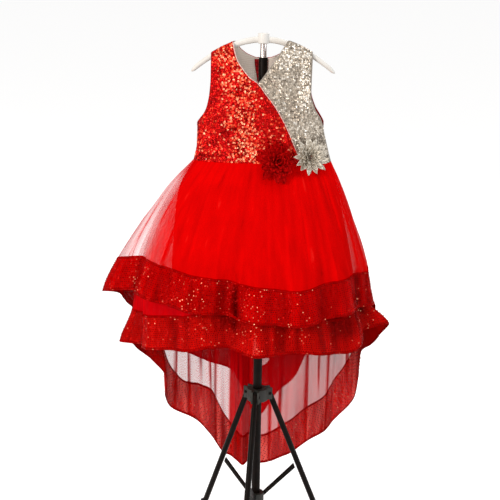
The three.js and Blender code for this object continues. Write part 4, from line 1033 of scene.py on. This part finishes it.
def band_sequins(name, layer):
    def surface(angle, share):
        return skirt_point(layer, angle, mix(layer["band_top"](angle), 1, share))

    count = int(BAND_WIDTH / SMALL_SEQUIN["row"])
    rows = (np.arange(count) + 0.5) / count
    angle, share = rows_of_places(SMALL_SEQUIN, surface, rows, lambda row: (-180.0, 180.0))
    places = surface(angle, share)
    normal, along = grid_normals(surface, angle, share, (0.4, 0.01))
    centre = np.stack([np.sin(angle * DEGREE), -np.cos(angle * DEGREE), np.zeros_like(angle)], axis=-1)
    normal = normal * np.sign(np.sum(normal * centre, axis=1, keepdims=True))
    # Round the train, where the inside shows, every other one is sewn there.
    inside = (np.abs(angle) > 100) & (np.arange(len(angle)) % 2 == 1)
    normal = np.where(inside[:, None], -normal, normal)
    # The hem's sequins are not turned: their glints are painted highlights only.
    glint_share = np.full(len(angle), 0.03)
    for angle_at, width, most in zip(*BAND_PAINTED_GLINTS.values()):
        glint_share = glint_share + most * np.exp(-((wrap_angle(angle - angle_at) / width) ** 2))
    return sew_on(name, SMALL_SEQUIN, places + normal * 0.6, normal, along, BAND_FILM, glint_share)


underskirt = skirt_sheet(
    "satin_underskirt", LINING, "whole", (300, 40, even_spread), (1.05, 0.27), RED_SATIN, waist_gathers
)
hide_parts("skirt_lining")

for name, node, layer, nets, columns, spread, gathered, size, hem_long in (
    ("upper", "tier1", TIER1, (TIER1_NET, TIER1_BAND_NET), 560, even_spread, upper_gathers, (1.5, 0.42), 1.7),
    ("lower", "tier2", TIER2, (TIER2_NET, TIER2_BAND_NET), 700, train_spread, train_gathers, (1.6, 0.5), 1.9),
):
    tulle = skirt_sheet(f"{name}_tulle", layer, "net", (columns, 64, spread), size, nets[0], gathered)
    grid, size = (columns, 16, spread), (hem_long, BAND_WIDTH * MM)
    band = skirt_sheet(f"{name}_hem_band", layer, "band", grid, size, nets[1], band_gathers)
    trims = [band_sequins(f"{name}_hem_sequins", layer)]
    for part, word in (("seam", "band_seam"), ("binding", "hem_binding")):
        trims.append(skirt_sheet(f"{name}_{word}", layer, part, (columns, 3, spread), (1.8, 0.006), BINDING))
    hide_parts(f"{node}_tulle")
    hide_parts(f"{node}_band")


# ---- flowers ---------------------------------------------------------------------------------
# A corsage sits on the waist, leans back and is turned; near is how short its petals are on the
# side where the other corsage lies. Each ring's petals rise from its cone at tilt degrees.
RED_FLOWER = {"x": 31, "drop": 230, "turn": 11, "lean": -20, "seat": 5.8, "near_angle": 90, "near": 0.62}
RED_RINGS = table(
    "petals length width tilt start",
    (13, 41, 17, 12, 0), (12, 37, 16, 24, 14), (10, 32, 15, 36, 4), (8, 26, 13, 52, 21),
    (6, 18, 10, 70, 9),
)
SILVER_FLOWER = {"x": 92, "drop": 222, "turn": 21, "lean": -20, "seat": 3.5, "near_angle": -90, "near": 0.9}
SILVER_RINGS = table(
    "petals length width tilt start",
    (13, 37, 13, 9, 0), (12, 34, 12, 21, 15), (11, 29, 11, 33, 7), (9, 24, 10, 48, 22),
    (6, 16, 8, 66, 10),
)
PETAL_ROOT = {"radius": 3.5, "depth": 2.4}
PETAL_GRID = (6, 9)


def petal_points(length, width, frill, pointed):
    """One petal, flat on its cone: how far along it, to its side and above it each point is."""
    side_steps, long_steps = PETAL_GRID
    across = np.tile(np.linspace(-1, 1, side_steps + 1), long_steps + 1)
    along = np.repeat(np.linspace(0, 1, long_steps + 1), side_steps + 1)
    if pointed:
        half = np.sin(math.pi * along**0.85 * 0.97 + 0.06) ** 0.8
    else:
        half = smooth(-0.15, 0.45, along) * np.sqrt(np.minimum(1, 1.04 - along**5))
    phase = rng.uniform(0, 6.28, 4)
    ragged = frill * along**3 * (np.sin(across * 7 + phase[0]) + 0.6 * np.sin(across * 13 + phase[1]))
    wave = np.sin(across * 5 + phase[2]) + 0.7 * np.sin(across * 9 + along * 5 + phase[3])
    crease = (0.9 if pointed else 0.35) * width * 0.2 * np.abs(across) * half
    curl = (0.16 if pointed else 0.22) * length * along**2.5 * rng.uniform(-0.4, 1.0)
    return along * length + ragged, across * half * width / 2, frill * along**1.5 * wave + crease + curl


def blossom(name, node, spec, rings, frill, pointed, material, slot):
    """A corsage of loose petals in rings round a tuft, where its solid is."""
    side_steps, long_steps = PETAL_GRID
    at = np.arange((side_steps + 1) * (long_steps + 1)).reshape(long_steps + 1, side_steps + 1)
    quads = np.stack([at[:-1, :-1], at[:-1, 1:], at[1:, 1:], at[1:, :-1]], axis=-1).reshape(-1, 4)
    places = []
    for petals, length, width, tilt, start in zip(*rings.values()):
        for k in range(int(petals)):
            turn = start + k * 360 / petals + rng.uniform(-7, 7)
            near = max(0.0, math.cos((turn - spec["near_angle"]) * DEGREE)) ** 1.5
            reach = length * mix(1, spec["near"], near) * rng.uniform(0.86, 1.04)
            slope = (tilt + rng.uniform(-6, 6)) * DEGREE
            along, side, lift = petal_points(reach, width * rng.uniform(0.85, 1.1), frill, pointed)
            radius = PETAL_ROOT["radius"] + along * math.cos(slope) - lift * math.sin(slope)
            y = -PETAL_ROOT["depth"] - along * math.sin(slope) - lift * math.cos(slope)
            s, c = math.sin(turn * DEGREE), math.cos(turn * DEGREE)
            places.append(np.stack([radius * s + side * c, y, radius * c - side * s], axis=-1))
    turned = Matrix.Rotation(spec["turn"] * DEGREE, 3, "Z") @ Matrix.Rotation(spec["lean"] * DEGREE, 3, "X")
    seat = body_point(turn_at(spec["x"], spec["drop"]), spec["drop"], -1) - np.array([0, spec["seat"], 0])
    piece = many_copies(name, np.array(places) @ np.array(turned).T + seat, quads, material)
    apply_modifier(piece, "SOLIDIFY", thickness=0.35 * MM, offset=0)
    piece.select_set(True)
    bpy.ops.object.shade_smooth()
    piece.select_set(False)
    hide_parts(node)


for row in (
    ("red_corsage", "flower_red", RED_FLOWER, RED_RINGS, 1.5, False, RED_CHIFFON, "red_petal"),
    ("silver_corsage", "flower_silver", SILVER_FLOWER, SILVER_RINGS, 0.5, True, SILVER_LAME, "silver_petal"),
):
    blossom(*row)


# ---- stand, hanger and zip slider: their solids with rounded corners, and leg pins ---------------
STAND = [
    ("pole_upper", "upper_tube", STEEL_TUBE, "bright_tube", 0.6),
    ("pole_lower", "lower_tube", BLACK_TUBE, "black_tube", 0.6),
    ("collar", "leg_collar", DARK_NYLON, "dark_plastic", 0.8),
    ("hub", "brace_hub", DARK_NYLON, "dark_plastic", 0.8),
]
for k in (1, 2, 3):
    STAND += [
        (f"leg_{k}", f"leg_tube_{k}", BLACK_TUBE, "black_tube", 0.5),
        (f"foot_{k}", f"rubber_foot_{k}", BLACK_RUBBER, "black_rubber", 1.0),
        (f"brace_{k}", f"brace_strip_{k}", BLACK_TUBE, "black_tube", 0.6),
    ]
LEG_AZIMUTHS = (20, 140, 260)
PIN = {"reach": 25, "half": 8.5, "height": 303, "radius": 3.2, "head": 2.4}
BAR = {"depth": 9, "height": 12, "blunt": 0.34}
BOSS = {"radius": 11, "height": 20}


def rounded_copy(node, name, material, slot, bevel_mm, body="gown"):
    """A copy of a solid with its doubles merged and its corners rounded, in its place."""
    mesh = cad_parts[node].data.copy()
    piece = bpy.data.objects.new(name, mesh)
    bpy.context.collection.objects.link(piece)
    mesh.name = name
    mesh.materials.clear()
    mesh.materials.append(material)
    merge_doubles(piece, flats=True)
    round_corners(piece, bevel_mm, 2)
    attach(piece, body)
    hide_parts(node)


def leg_pins():
    """A pin through each leg's head, with a domed head on both sides."""
    for k, azimuth in enumerate(LEG_AZIMUTHS, 1):
        out = Vector((math.cos(azimuth * DEGREE), math.sin(azimuth * DEGREE), 0))
        for side, word in ((-1, "right"), (1, "left")):
            across = Vector((-out.y, out.x, 0)) * side
            centre = POLE + out * PIN["reach"] * MM + across * PIN["half"] * MM
            centre.z = PIN["height"] * MM
            size = {"radius": PIN["radius"] * MM, "depth": PIN["head"] * MM}
            bpy.ops.mesh.primitive_cylinder_add(vertices=24, **size)
            piece = bpy.context.object
            piece.name = piece.data.name = f"leg_pin_{k}_{word}"
            piece.data.transform(across.to_track_quat("Z", "Y").to_matrix().to_4x4())
            piece.data.transform(Matrix.Translation(centre))
            piece.data.materials.append(BLACK_TUBE)
            round_corners(piece, PIN["head"] * 0.4, 3)
            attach(piece, "gown")


def hanger_bar():
    """The moulded bar: a round-ended oval rod along its arch, fused to the boss on the pole."""
    bpy.ops.mesh.primitive_uv_sphere_add(segments=24, ring_count=64, radius=1)
    piece = bpy.context.object
    piece.name = piece.data.name = "hanger_bar"
    points = np.array([v.co for v in piece.data.vertices])
    length = np.hypot(points[:, 0], points[:, 1])
    full = np.minimum(1, length / BAR["blunt"])
    circle = points[:, :2] / np.maximum(length, 1e-6)[:, None] * full[:, None]
    x = HANGER_HALF_SPAN * points[:, 2]
    height = NECK_HEIGHT + bar_top(x) - BAR["height"] / 2 * (1 - circle[:, 1])
    rod = np.stack([x, BAR["depth"] / 2 * circle[:, 0], height], axis=-1)
    piece.data.vertices.foreach_set("co", in_frame(rod).ravel())
    bpy.ops.mesh.primitive_cylinder_add(vertices=48, radius=BOSS["radius"] * MM, depth=BOSS["height"] * MM)
    boss = bpy.context.object
    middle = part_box("hanger")[1].z - BOSS["height"] * MM / 2
    boss.data.transform(Matrix.Translation(POLE + Vector((0, 0, middle))))
    round_corners(boss, 1.6, 4)
    apply_modifier(piece, "BOOLEAN", operation="UNION", object=boss, solver="EXACT")
    bpy.data.objects.remove(boss)
    piece.data.materials.clear()
    piece.data.materials.append(WHITE_STYRENE)
    smooth_up_to(piece, 40)
    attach(piece, "gown")
    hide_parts("hanger")


for row in STAND:
    rounded_copy(*row)
rounded_copy("zip_slider", "slider_body", RED_ENAMEL, "zip_metal", 0.4)
rounded_copy("zip_pull", "pull_tab", RED_ENAMEL, "zip_metal", 0.3, body="zip_pull")
leg_pins()
hanger_bar()


# ---- stage, light and camera -----------------------------------------------------------------
STAGE = {"size": 16, "flat": 1.1, "bend": 0.05}
SOFTBOXES = (
    # name, place from the pole, size, watts, colour
    ("key softbox", (-1.9, -2.0, 1.5), 0.8, 46, "fff4ea"),
    ("front softbox", (-0.5, -2.7, 1.3), 0.4, 7, "fff4ea"),
    ("side softbox", (2.4, -0.7, 1.5), 0.9, 16, "f4f8ff"),
    ("top softbox", (0.2, -0.4, 3.0), 1.6, 18, "ffffff"),
    ("back softbox", (0.9, 2.4, 1.9), 1.4, 22, "ffffff"),
)
CAMERA = {"place": (-0.0198, -2.2, 1.12), "down": 13.15, "roll": 0.9, "lens": 81.33}


def studio():
    bpy.ops.mesh.primitive_grid_add(x_subdivisions=80, y_subdivisions=80, size=STAGE["size"])
    sweep = bpy.context.object
    sweep.name = "floor_sweep"
    for vertex in sweep.data.vertices:
        away = max(0.0, math.hypot(vertex.co.x, vertex.co.y) - STAGE["flat"])
        vertex.co.z = STAGE["bend"] * away * away - 0.0005
    bpy.ops.object.shade_smooth()
    # Paper lit from behind: even and near white.
    paper = new_material("white lit paper", Base_Color=linear("f4f4f4"), Roughness=0.9, Specular_IOR_Level=0)
    finish(paper, Emission_Color=linear("ffffff"), Emission_Strength=0.42)
    sweep.data.materials.append(paper)
    sweep.visible_diffuse = False
    sweep.select_set(False)
    scene = bpy.context.scene
    scene.view_settings.view_transform = "Standard"
    scene.cycles.transparent_max_bounces = 40
    scene.world = bpy.data.worlds.new("studio room")
    scene.world.use_nodes = True
    air = scene.world.node_tree.nodes["Background"].inputs
    air["Color"].default_value = linear("ffffff")
    air["Strength"].default_value = 0.55
    for name, place, size, power, colour in SOFTBOXES:
        lamp = bpy.data.lights.new(name, "AREA")
        lamp.size = size
        lamp.energy = power
        lamp.color = linear(colour)[:3]
        light = bpy.data.objects.new(name, lamp)
        bpy.context.collection.objects.link(light)
        light.location = POLE + Vector(place)
        aim = POLE + Vector((0, 0, 0.7)) - light.location
        light.rotation_euler = aim.to_track_quat("-Z", "Y").to_euler()


def place_camera():
    camera = bpy.data.cameras.new("camera")
    camera.lens = CAMERA["lens"]
    camera.sensor_width = 36
    eye = bpy.data.objects.new("camera", camera)
    bpy.context.collection.objects.link(eye)
    place = Matrix.Translation(POLE + Vector(CAMERA["place"]))
    tilt = Matrix.Rotation((90 - CAMERA["down"]) * DEGREE, 4, "X")
    eye.matrix_world = place @ tilt @ Matrix.Rotation(CAMERA["roll"] * DEGREE, 4, "Z")
    bpy.context.scene.camera = eye


studio()
place_camera()
